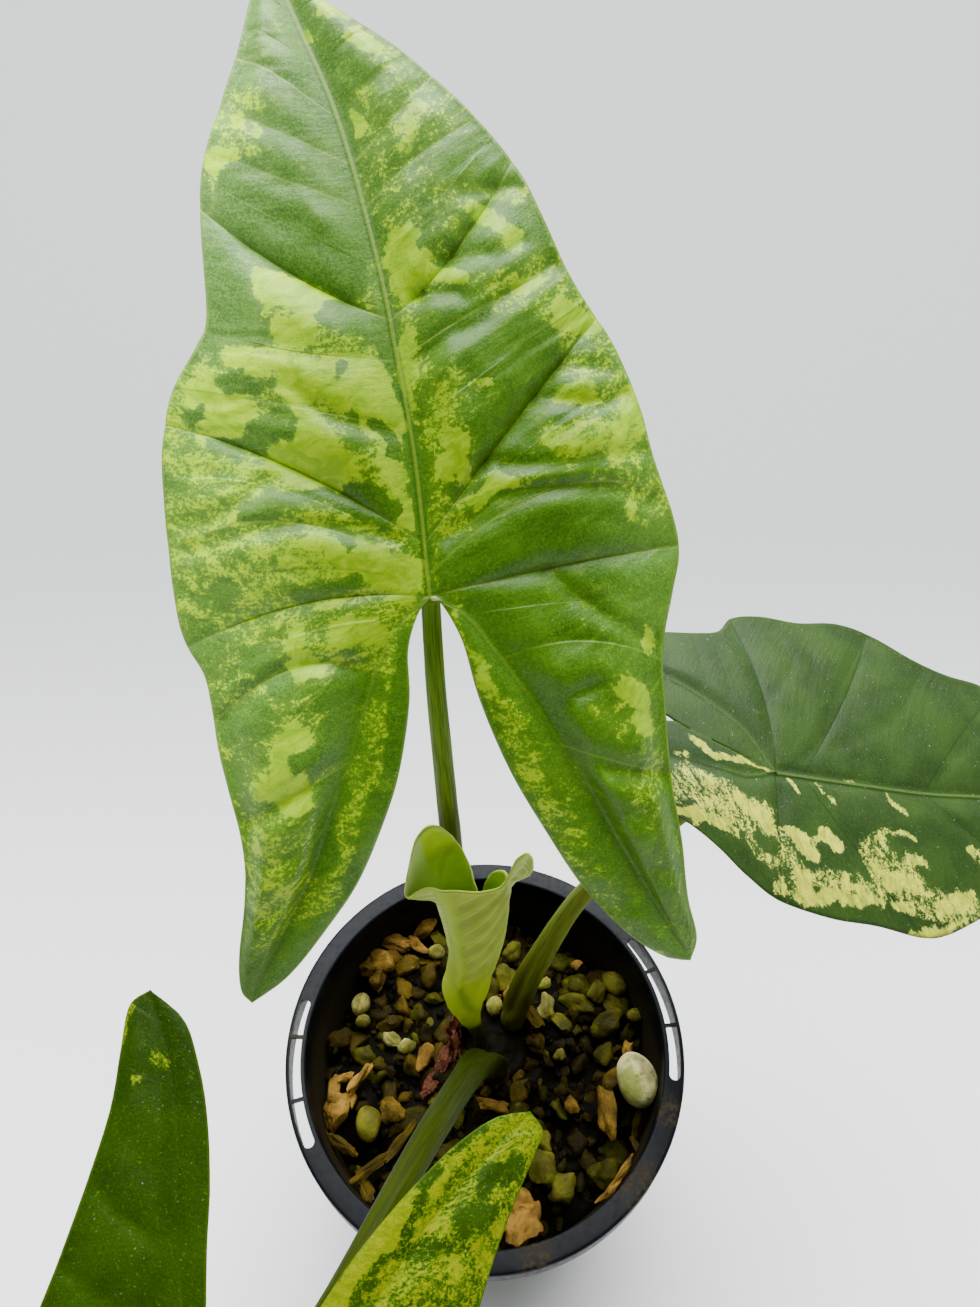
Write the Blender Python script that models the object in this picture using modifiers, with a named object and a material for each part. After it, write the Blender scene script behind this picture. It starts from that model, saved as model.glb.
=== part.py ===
"""Potted alocasia: a round nursery pot of bark mix with three arrow-shaped leaves and one new rolled leaf.

Blender 4.5, metres, +Z up. The origin is the middle of the flat underside of the pot.
The viewer stands at -Y. A leaf has its own flat frame, in millimetres: x to the right of its midrib,
y from the junction with the stem towards the tip, z out of its upper side.
"""
import math
import random

import bmesh
import bpy
import numpy as np
from mathutils import Matrix, Vector

MM = 0.001
SEED = 7

# Pot, in millimetres
POT_HEIGHT = 88.0
RIM_RADIUS = 52.5
RIM_INNER_RADIUS = 47.2
RIM_PLATE = 1.2
SKIRT_THICKNESS = 0.9
SKIRT_DEPTH = 8.0
WALL = 1.2
WALL_TOP_RADIUS = 48.1
FOOT_RADIUS = 35.5
FLOOR = 1.6
POT_STEPS = 60
SLOT_MIDDLE_RADIUS = 49.95
SLOT_WIDTH = 2.9
SLOT_CELLS = ((-11.0, 4.4), (6.3, 22.2), (24.1, 35.0), (166.0, 176.5), (178.4, 195.0), (196.9, 210.0))
DRAIN_HOLES = 6
DRAIN_HOLE_RADIUS = 4.0
DRAIN_RING_RADIUS = 24.0

# Potting mix and crown
CLEARANCE = 0.3
MIX_LEVEL = POT_HEIGHT - 15.0
MIX_STEPS = 48
CHUNKS = 100
CHUNK_SIZE = (3.2, 5.6)
CROWN_CENTRE = (2.0, 5.4)
CROWN_RADIUS = 13.0
CROWN_TOP = MIX_LEVEL + 3.5
CROWN_BOTTOM = POT_HEIGHT - 36.5
SOCKET_FLOOR = POT_HEIGHT - 16.0

# Blades
BLADE_THICKNESS = 0.8
RIB_THICKNESS = 2.3
LOBE_RIB = 0.6
LOBE_RIB_REACH = 80.0
SIDE_VEIN_RIB = 0.3
ROWS_PER_VEIN = 2
ACROSS = (0.0, 0.06, 0.22, 0.42, 0.62, 0.82, 1.0)
ACROSS_INNER = (0.0, 0.35, 0.7, 1.0)
# A pillow between two veins reaches its full height where the veins are this far apart and the row this long
FULL_GAP = 11.0
FULL_ROW = 14.0
FULL_INNER = 8.0
INNER_LIFT = 0.3

# Vein rows of a leaf, from the tip to the lobe tips. The first number is the place on the midrib, or, below 0,
# the share of a back lobe. Then for the left and for the right half: where the vein meets the margin,
# how deep its furrow is, and how far its middle bows towards the tip.
TALL_LEAF = {
    "junction": (-7.2, 16.3, 155.8), "heading": -4.0, "climb": 43.0, "roll": 0.0,
    "tip_droop": 8.0, "lobe_droop": 8.0, "side_droop": 3.0, "length": 95.0, "lobe": 65.0, "half_width": 38.0,
    "quilt": 2.6,
    "midrib": ((0, 0), (-1, 21), (-2.8, 36.5), (-4.4, 48.5), (-7.6, 65), (-10.9, 77.6), (-15.8, 91), (-20, 103)),
    "left": {
        "margin": ((-20, 103), (-21.5, 97), (-24.2, 86), (-27.4, 77), (-30.4, 69), (-31.5, 61), (-31.2, 45),
                   (-33, 40), (-37.5, 33), (-39.4, 25), (-39.6, 17), (-39.1, 2), (-38, -5), (-35.2, -11), (-34, -23),
                   (-31.9, -37), (-32.4, -46), (-34.7, -57), (-35.1, -63), (-33.6, -65.5)),
        "lobe_vein": ((0, 0), (-4.8, -4), (-8.6, -10), (-11.6, -18), (-16.9, -32.4), (-21.8, -43.8), (-29.5, -57.5),
                      (-33.6, -65.5)),
        "sinus": ((0, 0), (-2, -2.6), (-3.8, -8), (-4.1, -16), (-6.3, -26.6), (-9.2, -34.5), (-13.9, -44.2),
                  (-19.3, -51.7), (-26.7, -60.4), (-33.6, -65.5)),
    },
    "right": {
        "margin": ((-20, 103), (-16, 97.5), (-10, 92), (-1, 85), (6.5, 78), (12.5, 71.5), (17.5, 64.5), (20.7, 57),
                   (24.6, 47.5), (30.2, 38), (34, 28), (35.8, 20), (38.6, 11), (39.5, 5), (38, -1.5), (36, -10.5),
                   (36.2, -22), (36.9, -32), (38.5, -42), (39.6, -52), (41.3, -59.5), (40.3, -64)),
        "lobe_vein": ((0, 0), (5.5, -3.2), (10.5, -10.2), (15.1, -17.2), (20.6, -27), (31.6, -48.3), (40.3, -64)),
        "sinus": ((0, 0), (1.6, -1), (4.5, -6.9), (6.7, -16.3), (10.8, -27.7), (16, -38), (22.2, -48.8),
                  (29.6, -57.8), (36, -62.8), (40.3, -64)),
    },
    "veins": (
        (103, (103, 0, 0), (103, 0, 0)),
        (91, (95, 0.3, 0), (93, 0.3, 0)),
        (82, (89, 0.5, 0), (87.5, 0.4, 0)),
        (74, (84, 0.8, 0), (83, 0.5, 0)),
        (66.5, (76, 0.8, -0.5), (79.5, 0.8, -1)),
        (59.5, (70, 0.7, -1), (73, 0.7, 0)),
        (50, (65.5, 0.3, -1), (70, 0.2, -1)),
        (42.3, (61, 1, -2), (66, 1, -2.5)),
        (36, (42, 0.8, -1.5), (50, 0.8, 0)),
        (25, (34, 0.6, 0), (44, 0.4, 0)),
        (8, (28.5, 1, 2.3), (41.5, 1, 0.5)),
        (5.5, (20, 0.4, 4), (30, 0.4, 4)),
        (3, (9.5, 0.8, 6), (14, 0.8, 6.5)),
        (1.5, (1.5, 0.3, 4), (9.5, 0.3, 4)),
        (0, (-5.7, 1, 3), (5.8, 1, 0.7)),
        (-0.05, (-11, 0.3, 2.5), (-3, 0.3, 1)),
        (-0.16, (-17.4, 0.9, 4), (-12, 0.6, 3)),
        (-0.27, (-26, 0.3, 2), (-22, 0.3, 2)),
        (-0.38, (-34, 0.8, 0), (-30.5, 0.8, 0)),
        (-0.55, (-43, 0.4, 0), (-40, 0.5, 0)),
        (-0.7, (-51, 0.6, 0), (-48, 0.5, 0)),
        (-0.85, (-58.5, 0.3, 0), (-57, 0.3, 0)),
        (-0.95, (-63.6, 0.1, 0), (-62, 0.1, 0)),
        (-1, (-65.5, 0, 0), (-64, 0, 0)),
    ),
}
RIGHT_LEAF = {
    "junction": (60.6, 23.7, 94.4), "heading": 92.0, "climb": -12.0, "roll": 15.0,
    "tip_droop": 8.0, "lobe_droop": 4.0, "side_droop": 3.0, "length": 85.0, "lobe": 35.0, "half_width": 30.0,
    "quilt": 1.1,
    "midrib": ((0, 0), (-0.1, 18), (-0.6, 35), (-2.3, 50), (-3.5, 70), (-4, 86)),
    "left": {
        "margin": ((-4, 86), (-9, 82), (-17, 75), (-25, 66), (-30.5, 56), (-31.6, 46), (-34, 37.5), (-38.8, 27.5),
                   (-40.2, 19), (-38.3, 9), (-38.3, 0), (-36.5, -7), (-32.3, -10.5), (-31, -16), (-30.2, -24),
                   (-28.5, -32), (-24, -38)),
        "lobe_vein": ((0, 0), (-8, -6), (-12, -11), (-17, -19), (-21, -28), (-24, -38)),
        "sinus": ((0, 0), (-3, -8), (-7, -18), (-8.6, -21), (-12.5, -26.5), (-18, -34), (-24, -38)),
    },
    "right": {
        "margin": ((-4, 86), (1, 80), (9, 70), (17, 58), (23.5, 46.5), (28, 38), (29.2, 32), (28.2, 22), (27.9, 12),
                   (25.8, 1), (21.8, -6), (17, -12), (12.9, -18), (9, -26), (4, -33), (-2, -38)),
        "lobe_vein": ((0, 0), (1.5, -6), (0.5, -12), (-0.5, -19), (-1.5, -28), (-2, -38)),
        "sinus": ((0, 0), (-3, -8), (-7, -18), (-8.6, -21), (-8, -27), (-6, -34), (-2, -38)),
    },
    "veins": (
        (86, (86, 0, 0), (86, 0, 0)),
        (74, (80, 0.4, 0), (79, 0.4, 0)),
        (60, (72, 0.6, 0), (71, 0.6, 0)),
        (48, (65, 0.5, 0), (66, 0.5, 0)),
        (34, (58, 0.9, -1), (60, 0.9, -1)),
        (22, (43, 0.5, 0), (46, 0.5, 0)),
        (6, (27, 1, 1), (32, 1, -1)),
        (2.5, (12, 0.4, 1), (15, 0.4, 1)),
        (0, (-7.5, 1, 2), (1, 1, 0)),
        (-0.18, (-12, 0.4, 0), (-7, 0.4, 0)),
        (-0.36, (-17, 0.6, 0), (-15, 0.6, 0)),
        (-0.55, (-24, 0.4, 0), (-22, 0.4, 0)),
        (-0.78, (-32, 0.4, 0), (-31, 0.4, 0)),
        (-1, (-38, 0, 0), (-38, 0, 0)),
    ),
}
FRONT_LEAF = {
    "junction": (-41.2, -87.3, 70.2), "heading": 197.6, "climb": -22.0, "roll": -10.0,
    "tip_droop": 12.0, "lobe_droop": 4.0, "side_droop": 2.0, "length": 90.0, "lobe": 70.0, "half_width": 38.0,
    "quilt": 1.4,
    "midrib": ((0, 0), (0.3, 20), (0.2, 45), (-1, 70), (-3, 92)),
    "left": {
        "margin": ((-3, 92), (-7.5, 84), (-14.5, 71), (-21, 57), (-27, 43), (-32, 29), (-34.8, 14), (-34.8, 0),
                   (-33.4, -14), (-33.4, -32), (-34.4, -44), (-36.3, -55), (-36.9, -59.5), (-34, -62)),
        "lobe_vein": ((0, 0), (-6.5, -9), (-11.5, -19), (-16.8, -29), (-22.6, -43), (-30, -56), (-34, -62)),
        "sinus": ((0, 0), (-3, -8), (-5.7, -17), (-8.5, -25.7), (-12, -34.8), (-17.2, -45), (-22.8, -53.7),
                  (-28.4, -59.6), (-34, -62)),
    },
    "right": {
        "margin": ((-3, 92), (2.5, 84), (10.5, 71), (18.5, 57), (26, 43), (31.5, 29), (35, 14), (35.6, 0),
                   (34.3, -14), (34.1, -29), (34.8, -43), (36.8, -52), (38.4, -59.5), (36, -63)),
        "lobe_vein": ((0, 0), (7, -9), (12.7, -20), (16.8, -28.5), (21.9, -42), (28, -53), (36, -63)),
        "sinus": ((0, 0), (3.2, -7), (6.2, -14), (8.9, -21), (11.7, -28.7), (14.6, -37.5), (18.8, -47), (23.4, -54.4),
                  (28.5, -60.2), (36, -63)),
    },
    "veins": (
        (92, (92, 0, 0), (92, 0, 0)),
        (80, (86, 0.4, 0), (86, 0.4, 0)),
        (66, (75, 0.7, 0), (75, 0.7, 0)),
        (54, (65, 0.4, 0), (65, 0.4, 0)),
        (42, (56, 0.9, -1), (56, 0.9, -1)),
        (28, (43, 0.5, 0), (43, 0.5, 0)),
        (8, (31, 1, 1), (31, 1, 1)),
        (3.5, (13, 0.6, 4), (13, 0.6, 4)),
        (0, (-3, 1, 2), (-3, 1, 2)),
        (-0.09, (-11, 0.3, 1.5), (-11, 0.3, 1.5)),
        (-0.22, (-20, 0.7, 2), (-20, 0.7, 2)),
        (-0.4, (-31, 0.5, 0), (-31, 0.5, 0)),
        (-0.58, (-41, 0.6, 0), (-41, 0.6, 0)),
        (-0.78, (-51, 0.4, 0), (-51, 0.4, 0)),
        (-0.93, (-59.5, 0.1, 0), (-60, 0.1, 0)),
        (-1, (-62, 0, 0), (-63, 0, 0)),
    ),
}

# Stems: route points above or below the rim, and the radius at each
STEMS = {
    "petiole_tall": {
        "leaf": TALL_LEAF, "colour": (0.16, 0.20, 0.035),
        "route": ((-3.8, 10.5, -15.7), (-3.9, 10.6, -11), (-4.6, 11.4, 12), (-6.1, 13.4, 75), (-7.2, 15.4, 130)),
        "radius": (3.1, 3.2, 2.9, 2.3, 1.75), "end_radius": 1.55, "bend": (0.0, -1.2, -3.5),
    },
    "petiole_right": {
        "leaf": RIGHT_LEAF, "colour": (0.14, 0.19, 0.05),
        "route": ((8.0, 11.6, -15.7), (8.2, 11.8, -11), (13.7, 16.2, 12), (24.4, 21.0, 45), (42.5, 22.0, 80),
                  (54.5, 23.2, 90.5)),
        "radius": (3.3, 3.4, 3.1, 2.4, 2.0, 1.7), "end_radius": 1.5, "bend": (0.0, -3.2, -4.2),
    },
    "petiole_front": {
        "leaf": FRONT_LEAF, "colour": (0.15, 0.22, 0.06),
        "route": ((2.4, -2.5, -15.7), (2.2, -2.9, -11), (-1.9, -10.5, 16), (-9.4, -35.5, 61), (-24.8, -65, 71.0),
                  (-34.5, -77.5, 68.3)),
        "radius": (3.6, 3.8, 3.5, 2.9, 2.3, 2.0), "end_radius": 1.6, "bend": (0.0, -3.4, -4.4),
    },
}
STEM_SIDES = 12
STEM_STEP = 6.0
SHEATH_SHARE = 0.42

# New rolled leaf: height above the rim, then middle x and y, radius, how flat it is from front to back, where its
# outer edge lies and how far it is rolled round. Both angles are in degrees, the first from the front rightwards.
ROLL_STATIONS = (
    (-15.7, -1.2, 4.0, 1.9, 1.0, 0, 335), (-4.0, -1.4, 3.8, 2.0, 1.0, 0, 335), (6.0, -3.0, 3.2, 2.9, 1.0, 4, 335),
    (14.0, -4.2, 2.8, 4.5, 0.95, -8, 338), (26.0, -4.5, 2.6, 5.4, 0.9, -20, 350),
    (40.0, -3.3, 2.6, 5.6, 0.85, 45, 415), (54.0, -1.9, 2.7, 5.8, 0.8, 70, 450), (67.0, -1.5, 3.0, 6.8, 0.72, 76, 455),
    (80.0, -1.8, 3.2, 7.6, 0.64, 78, 455), (90.0, -2.0, 3.3, 8.2, 0.58, 80, 455),
    (105.0, -2.2, 3.4, 8.6, 0.55, 80, 455),
)
# Rim of the rolled leaf, by the angle travelled round the roll: its height above the pot's rim, and how far it is
# carried sideways and back from the roll
ROLL_RIM = (
    (0, 96.0, 4.1, 0.0), (18, 96.5, 3.7, 0.4), (38, 92.0, 0.8, -0.4), (80, 92.5, 0.0, 0.0), (120, 91.0, -1.0, 0.0),
    (150, 88.0, -3.2, -0.4), (166, 86.5, -5.2, -0.8), (180, 93.5, -3.4, 0.6), (196, 99.0, -2.4, 1.2),
    (212, 101.0, -1.4, 1.6), (232, 98.5, -0.6, 1.4), (250, 91.0, -0.2, 0.6), (268, 84.0, 0.0, 0.0),
    (300, 82.0, 0.0, 0.0), (340, 84.0, 0.0, 0.0), (455, 84.0, 0.0, 0.0),
)
ROLL_FLARE_FROM = 74.0
ROLL_GAP = 1.3
ROLL_THICKNESS = 0.7
ROLL_COLUMNS = 26
ROLL_ROWS = 13


def clear_scene():
    for old in list(bpy.data.objects):
        bpy.data.objects.remove(old, do_unlink=True)


def new_collection(name, parent):
    collection = bpy.data.collections.new(name)
    parent.children.link(collection)
    return collection


def plain_material(name, colour, roughness):
    material = bpy.data.materials.new(name)
    material.use_nodes = True
    shader = material.node_tree.nodes["Principled BSDF"]
    shader.inputs["Base Color"].default_value = (*colour, 1.0)
    shader.inputs["Roughness"].default_value = roughness
    shader.inputs["Metallic"].default_value = 0.0
    material.diffuse_color = (*colour, 1.0)
    return material


def object_from_bmesh(name, shape, collection, material=None):
    mesh = bpy.data.meshes.new(name)
    shape.to_mesh(mesh)
    shape.free()
    made = bpy.data.objects.new(name, mesh)
    collection.objects.link(made)
    if material:
        mesh.materials.append(material)
    return made


def apply_modifiers(made):
    """Bake an object's modifiers into its mesh."""
    graph = bpy.context.evaluated_depsgraph_get()
    graph.update()
    baked = bpy.data.meshes.new_from_object(made.evaluated_get(graph))
    made.modifiers.clear()
    made.data = baked


def hide_as_cutter(made):
    made.display_type = "WIRE"
    made.hide_render = True


def shade(made, angle=40):
    made.data.shade_smooth()
    made.data.set_sharp_from_angle(angle=math.radians(angle))


def through_points(points, samples=16):
    """A smooth line through hand-set points, as an array (Catmull-Rom)."""
    knots = [np.array(p, float) for p in points]
    padded = [2 * knots[0] - knots[1]] + knots + [2 * knots[-1] - knots[-2]]
    line = []
    for before, start, end, after in zip(padded, padded[1:], padded[2:], padded[3:]):
        for step in range(samples):
            t = step / samples
            line.append(0.5 * (2 * start + (end - before) * t + (2 * before - 5 * start + 4 * end - after) * t ** 2
                               + (3 * start - before - 3 * end + after) * t ** 3))
    line.append(knots[-1])
    return np.array(line)


def side_of(points, y):
    """The x of an outline at a given y."""
    line = through_points(points)
    order = np.argsort(line[:, 1])
    return float(np.interp(y, line[order, 1], line[order, 0]))


def ease(low, high, value):
    t = min(1.0, max(0.0, (value - low) / (high - low)))
    return t * t * (3 - 2 * t)


def turned(name, profile, steps, collection, material):
    """A profile of (radius, height) pairs, in millimetres, turned about the z axis."""
    shape = bmesh.new()
    corners = [shape.verts.new((r * MM, 0, z * MM)) for r, z in profile]
    for first, second in zip(corners, corners[1:]):
        shape.edges.new((first, second))
    made = object_from_bmesh(name, shape, collection, material)
    screw = made.modifiers.new("Turn", "SCREW")
    screw.axis = "Z"
    screw.steps = steps
    screw.render_steps = steps
    screw.use_merge_vertices = True
    screw.merge_threshold = 0.00001
    apply_modifiers(made)
    return made


def boolean(target, operation, cutter=None, collection=None, solver="EXACT"):
    modifier = target.modifiers.new(operation.title(), "BOOLEAN")
    modifier.operation = operation
    modifier.solver = solver
    if collection:
        modifier.operand_type = "COLLECTION"
        modifier.collection = collection
    else:
        modifier.object = cutter


def slot_cutter(start, end, collection):
    """A slot along the rim with round ends, as a filled outline with height."""
    half = SLOT_WIDTH / 2
    end_turn = math.degrees(half / SLOT_MIDDLE_RADIUS)
    low = math.radians(start + end_turn)
    high = math.radians(end - end_turn)
    outline = []
    steps = 5
    for k in range(steps + 1):
        a = low + (high - low) * k / steps
        outline.append(((SLOT_MIDDLE_RADIUS + half) * math.cos(a), (SLOT_MIDDLE_RADIUS + half) * math.sin(a)))
    outline += round_end(high, half, 0.0)
    for k in range(steps + 1):
        a = high + (low - high) * k / steps
        outline.append(((SLOT_MIDDLE_RADIUS - half) * math.cos(a), (SLOT_MIDDLE_RADIUS - half) * math.sin(a)))
    outline += round_end(low, half, math.pi)
    shape = bmesh.new()
    bottom = [shape.verts.new((x * MM, y * MM, (POT_HEIGHT - 4) * MM)) for x, y in outline]
    face = shape.faces.new(bottom)
    raised = bmesh.ops.extrude_face_region(shape, geom=[face])
    lifted = [item for item in raised["geom"] if isinstance(item, bmesh.types.BMVert)]
    bmesh.ops.translate(shape, verts=lifted, vec=(0, 0, 6 * MM))
    bmesh.ops.recalc_face_normals(shape, faces=shape.faces)
    cutter = object_from_bmesh("slot_cutter", shape, collection)
    hide_as_cutter(cutter)


def round_end(angle, half, turn):
    """The half circle that closes a slot at one end."""
    middle = (SLOT_MIDDLE_RADIUS * math.cos(angle), SLOT_MIDDLE_RADIUS * math.sin(angle))
    points = []
    for k in (1, 2, 3):
        a = angle + turn + math.pi * k / 4
        points.append((middle[0] + half * math.cos(a), middle[1] + half * math.sin(a)))
    return points


def cylinder_cutter(name, x, y, low, high, radius, sides, collection):
    shape = bmesh.new()
    bmesh.ops.create_cone(shape, cap_ends=True, segments=sides, radius1=radius * MM, radius2=radius * MM,
                          depth=(high - low) * MM)
    bmesh.ops.translate(shape, verts=shape.verts, vec=(x * MM, y * MM, (low + high) / 2 * MM))
    cutter = object_from_bmesh(name, shape, collection)
    hide_as_cutter(cutter)
    return cutter


def wall_inner_radius(z):
    """Inner radius of the pot's tapered wall at a height."""
    share = (z - FLOOR) / (POT_HEIGHT - SKIRT_DEPTH - FLOOR)
    foot = FOOT_RADIUS - WALL
    top = WALL_TOP_RADIUS - WALL
    return foot + (top - foot) * min(1.0, share)


def make_pot(parts, cutters):
    under_rim = POT_HEIGHT - RIM_PLATE
    skirt_bottom = POT_HEIGHT - SKIRT_DEPTH
    skirt_inner = RIM_RADIUS - SKIRT_THICKNESS
    profile = (
        (0, FLOOR), (FOOT_RADIUS - WALL - 1.5, FLOOR), (FOOT_RADIUS - WALL, FLOOR + 1.5),
        (WALL_TOP_RADIUS - WALL, skirt_bottom), (RIM_INNER_RADIUS, POT_HEIGHT - 0.5),
        (RIM_INNER_RADIUS + 0.5, POT_HEIGHT), (RIM_RADIUS - 0.6, POT_HEIGHT), (RIM_RADIUS, POT_HEIGHT - 0.6),
        (RIM_RADIUS, skirt_bottom), (skirt_inner, skirt_bottom), (skirt_inner, under_rim),
        (WALL_TOP_RADIUS + 0.2, under_rim), (WALL_TOP_RADIUS, skirt_bottom), (FOOT_RADIUS, 1.0),
        (FOOT_RADIUS - 1.0, 0), (0, 0),
    )
    material = plain_material("black_plastic", (0.012, 0.014, 0.018), 0.42)
    pot = turned("pot", profile, POT_STEPS, parts, material)
    holes = new_collection("pot_holes", cutters)
    for start, end in SLOT_CELLS:
        slot_cutter(start, end, holes)
    for k in range(DRAIN_HOLES):
        a = math.tau * (k + 0.5) / DRAIN_HOLES
        cylinder_cutter("drain_cutter", DRAIN_RING_RADIUS * math.cos(a), DRAIN_RING_RADIUS * math.sin(a),
                        -2, FLOOR + 2, DRAIN_HOLE_RADIUS, 14, holes)
    boolean(pot, "DIFFERENCE", collection=holes)
    apply_modifiers(pot)
    shade(pot)


def make_chunk(rng, size, flat, collection):
    """One piece of bark or pumice: a rough ball, pressed flat for bark."""
    shape = bmesh.new()
    bmesh.ops.create_icosphere(shape, subdivisions=1, radius=size * MM)
    for corner in shape.verts:
        corner.co *= rng.uniform(0.85, 1.12)
    stretch = Matrix.Diagonal((1.0, rng.uniform(0.62, 0.9), flat, 1.0))
    turn = Matrix.Rotation(rng.uniform(0, math.tau), 4, "Z") @ Matrix.Rotation(rng.uniform(-0.5, 0.5), 4, "X")
    bmesh.ops.transform(shape, matrix=turn @ stretch, verts=shape.verts)
    return object_from_bmesh("chunk", shape, collection)


def chunk_places():
    """Seeded places spread evenly over the round surface, the far ones against the pot's wall."""
    rng = random.Random(SEED)
    places = []
    tries = 0
    while len(places) < CHUNKS and tries < 20000:
        tries += 1
        size = rng.uniform(*CHUNK_SIZE)
        reach = wall_inner_radius(MIX_LEVEL) - 1.2 * size - CLEARANCE - 0.4
        r = reach * math.sqrt(rng.random())
        a = rng.uniform(0, math.tau)
        x, y = r * math.cos(a), r * math.sin(a)
        if math.hypot(x - CROWN_CENTRE[0], y - CROWN_CENTRE[1]) < CROWN_RADIUS + 0.3 * size:
            continue
        if all(math.hypot(x - px, y - py) > 0.62 * (size + ps) for px, py, ps in places):
            places.append((x, y, size))
    return places


def make_mix(parts, cutters):
    gap = CLEARANCE
    edge = wall_inner_radius(MIX_LEVEL) - gap
    profile = (
        (0, MIX_LEVEL), (edge - 4, MIX_LEVEL), (edge - 0.2, MIX_LEVEL - 1.2),
        (wall_inner_radius(FLOOR + 1.5) - gap, FLOOR + 1.5), (FOOT_RADIUS - WALL - 1.6 - gap, FLOOR + gap),
        (0, FLOOR + gap),
    )
    material = plain_material("bark_mix", (0.055, 0.034, 0.016), 0.9)
    mix = turned("potting_mix", profile, MIX_STEPS, parts, material)
    chunks = new_collection("chunks", cutters)
    rng = random.Random(SEED + 1)
    for x, y, size in chunk_places():
        chunk = make_chunk(rng, size, rng.uniform(0.5, 0.95), chunks)
        chunk.location = (x * MM, y * MM, (MIX_LEVEL + rng.uniform(-0.22, 0.25) * size) * MM)
    boolean(mix, "UNION", collection=chunks, solver="MANIFOLD")
    apply_modifiers(mix)
    for chunk in list(chunks.objects):
        bpy.data.objects.remove(chunk, do_unlink=True)
    hole = cylinder_cutter("crown_hole", *CROWN_CENTRE, CROWN_BOTTOM - gap, POT_HEIGHT + 10, CROWN_RADIUS + gap, 32,
                           cutters)
    boolean(mix, "DIFFERENCE", cutter=hole, solver="MANIFOLD")
    apply_modifiers(mix)


def make_corm(parts, cutters):
    """The short thick stem, with sockets for the leaf stems and the torn rest of an old sheath round its left."""
    top = CROWN_TOP
    profile = (
        (0, top), (4, top - 0.3), (8, top - 1.4), (11, top - 2.9), (12.2, top - 4.6), (CROWN_RADIUS, top - 7),
        (12.0, top - 13), (12.4, top - 14), (11.6, top - 18), (8, CROWN_BOTTOM + 2.2), (4, CROWN_BOTTOM + 0.4),
        (0, CROWN_BOTTOM),
    )
    material = plain_material("crown_brown", (0.075, 0.035, 0.02), 0.8)
    corm = turned("corm", profile, 32, parts, material)
    corm.location = (CROWN_CENTRE[0] * MM, CROWN_CENTRE[1] * MM, 0)
    scrap = sheath_scrap(cutters)
    boolean(corm, "UNION", cutter=scrap, solver="MANIFOLD")
    sockets = new_collection("sockets", cutters)
    feet = [(*stem["route"][0][:2], stem["radius"][0]) for stem in STEMS.values()]
    feet.append(ROLL_STATIONS[0][1:4])
    for x, y, radius in feet:
        cylinder_cutter("socket", x, y, SOCKET_FLOOR, POT_HEIGHT, radius + CLEARANCE, 16, sockets)
    boolean(corm, "DIFFERENCE", collection=sockets)
    apply_modifiers(corm)
    shade(corm)


def sheath_scrap(cutters):
    """A thin upright sheet round part of the crown, its upper edge torn."""
    shape = bmesh.new()
    columns = 14
    rows = []
    for k in range(columns + 1):
        a = math.radians(140 + 100 * k / columns)
        torn = 6.5 * math.sin(math.pi * k / columns) ** 0.6 + 1.6 * math.sin(5.1 * k)
        column = []
        for share in (0.0, 0.5, 1.0):
            radius = 10.9 + 0.7 * share
            z = MIX_LEVEL - 0.5 + share * (3.2 + max(0.6, torn))
            column.append(shape.verts.new(((CROWN_CENTRE[0] + radius * math.cos(a)) * MM,
                                           (CROWN_CENTRE[1] + radius * math.sin(a)) * MM, z * MM)))
        rows.append(column)
    for first, second in zip(rows, rows[1:]):
        for k in range(2):
            shape.faces.new((first[k], second[k], second[k + 1], first[k + 1]))
    bmesh.ops.triangulate(shape, faces=shape.faces)
    scrap = object_from_bmesh("sheath_scrap", shape, cutters)
    hide_as_cutter(scrap)
    solid = scrap.modifiers.new("Thickness", "SOLIDIFY")
    solid.thickness = 0.8 * MM
    solid.offset = 0
    apply_modifiers(scrap)
    return scrap


def leaf_matrix(leaf):
    """From a leaf's own frame to the part's frame."""
    turn = (Matrix.Rotation(math.radians(-leaf["heading"]), 4, "Z")
            @ Matrix.Rotation(math.radians(leaf["climb"]), 4, "X")
            @ Matrix.Rotation(math.radians(leaf["roll"]), 4, "Y"))
    x, y, z = leaf["junction"]
    return Matrix.Translation(Vector((x, y, POT_HEIGHT + z)) * MM) @ turn


def blade_form(leaf, x, y):
    """The large curve of a blade: its tip, its lobes and its sides droop."""
    return (-leaf["tip_droop"] * (max(y, 0.0) / leaf["length"]) ** 2
            - leaf["lobe_droop"] * (max(-y, 0.0) / leaf["lobe"]) ** 2
            - leaf["side_droop"] * (x / leaf["half_width"]) ** 2)


def vein_rows(leaf):
    """Rows from the tip to the lobe tips: the vein above each row, and its share of the way to the next vein."""
    gaps = len(leaf["veins"]) - 1
    rows = [(k, step / ROWS_PER_VEIN) for k in range(gaps) for step in range(ROWS_PER_VEIN)]
    return rows + [(gaps - 1, 1.0)]


def row_on_half(leaf, half, row):
    """Where one row leaves the midrib or lobe vein, where it meets the margin, its bow and its swell."""
    k, u = row
    first, second = leaf["veins"][k], leaf["veins"][k + 1]
    index = 1 if half == "left" else 2
    lobe_tip = leaf[half]["lobe_vein"][-1][1]

    def spine_y(value):
        return value if value >= 0 else -value * lobe_tip

    y = spine_y(first[0]) * (1 - u) + spine_y(second[0]) * u
    line = leaf["midrib"] if y >= 0 else leaf[half]["lobe_vein"]
    margin_y = first[index][0] * (1 - u) + second[index][0] * u
    low = (1 - first[index][1]) * (1 - u) + (1 - second[index][1]) * u
    swell = low + (1 - low) * math.sin(math.pi * u)
    bow = first[index][2] * (1 - u) + second[index][2] * u
    spine = np.array((side_of(line, y), y))
    margin = np.array((side_of(leaf[half]["margin"], margin_y), margin_y))
    return spine, margin, bow, swell


def along_row(spine, margin, bow, share):
    point = spine + (margin - spine) * share
    return point + np.array((0.0, bow * 4 * share * (1 - share)))


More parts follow.
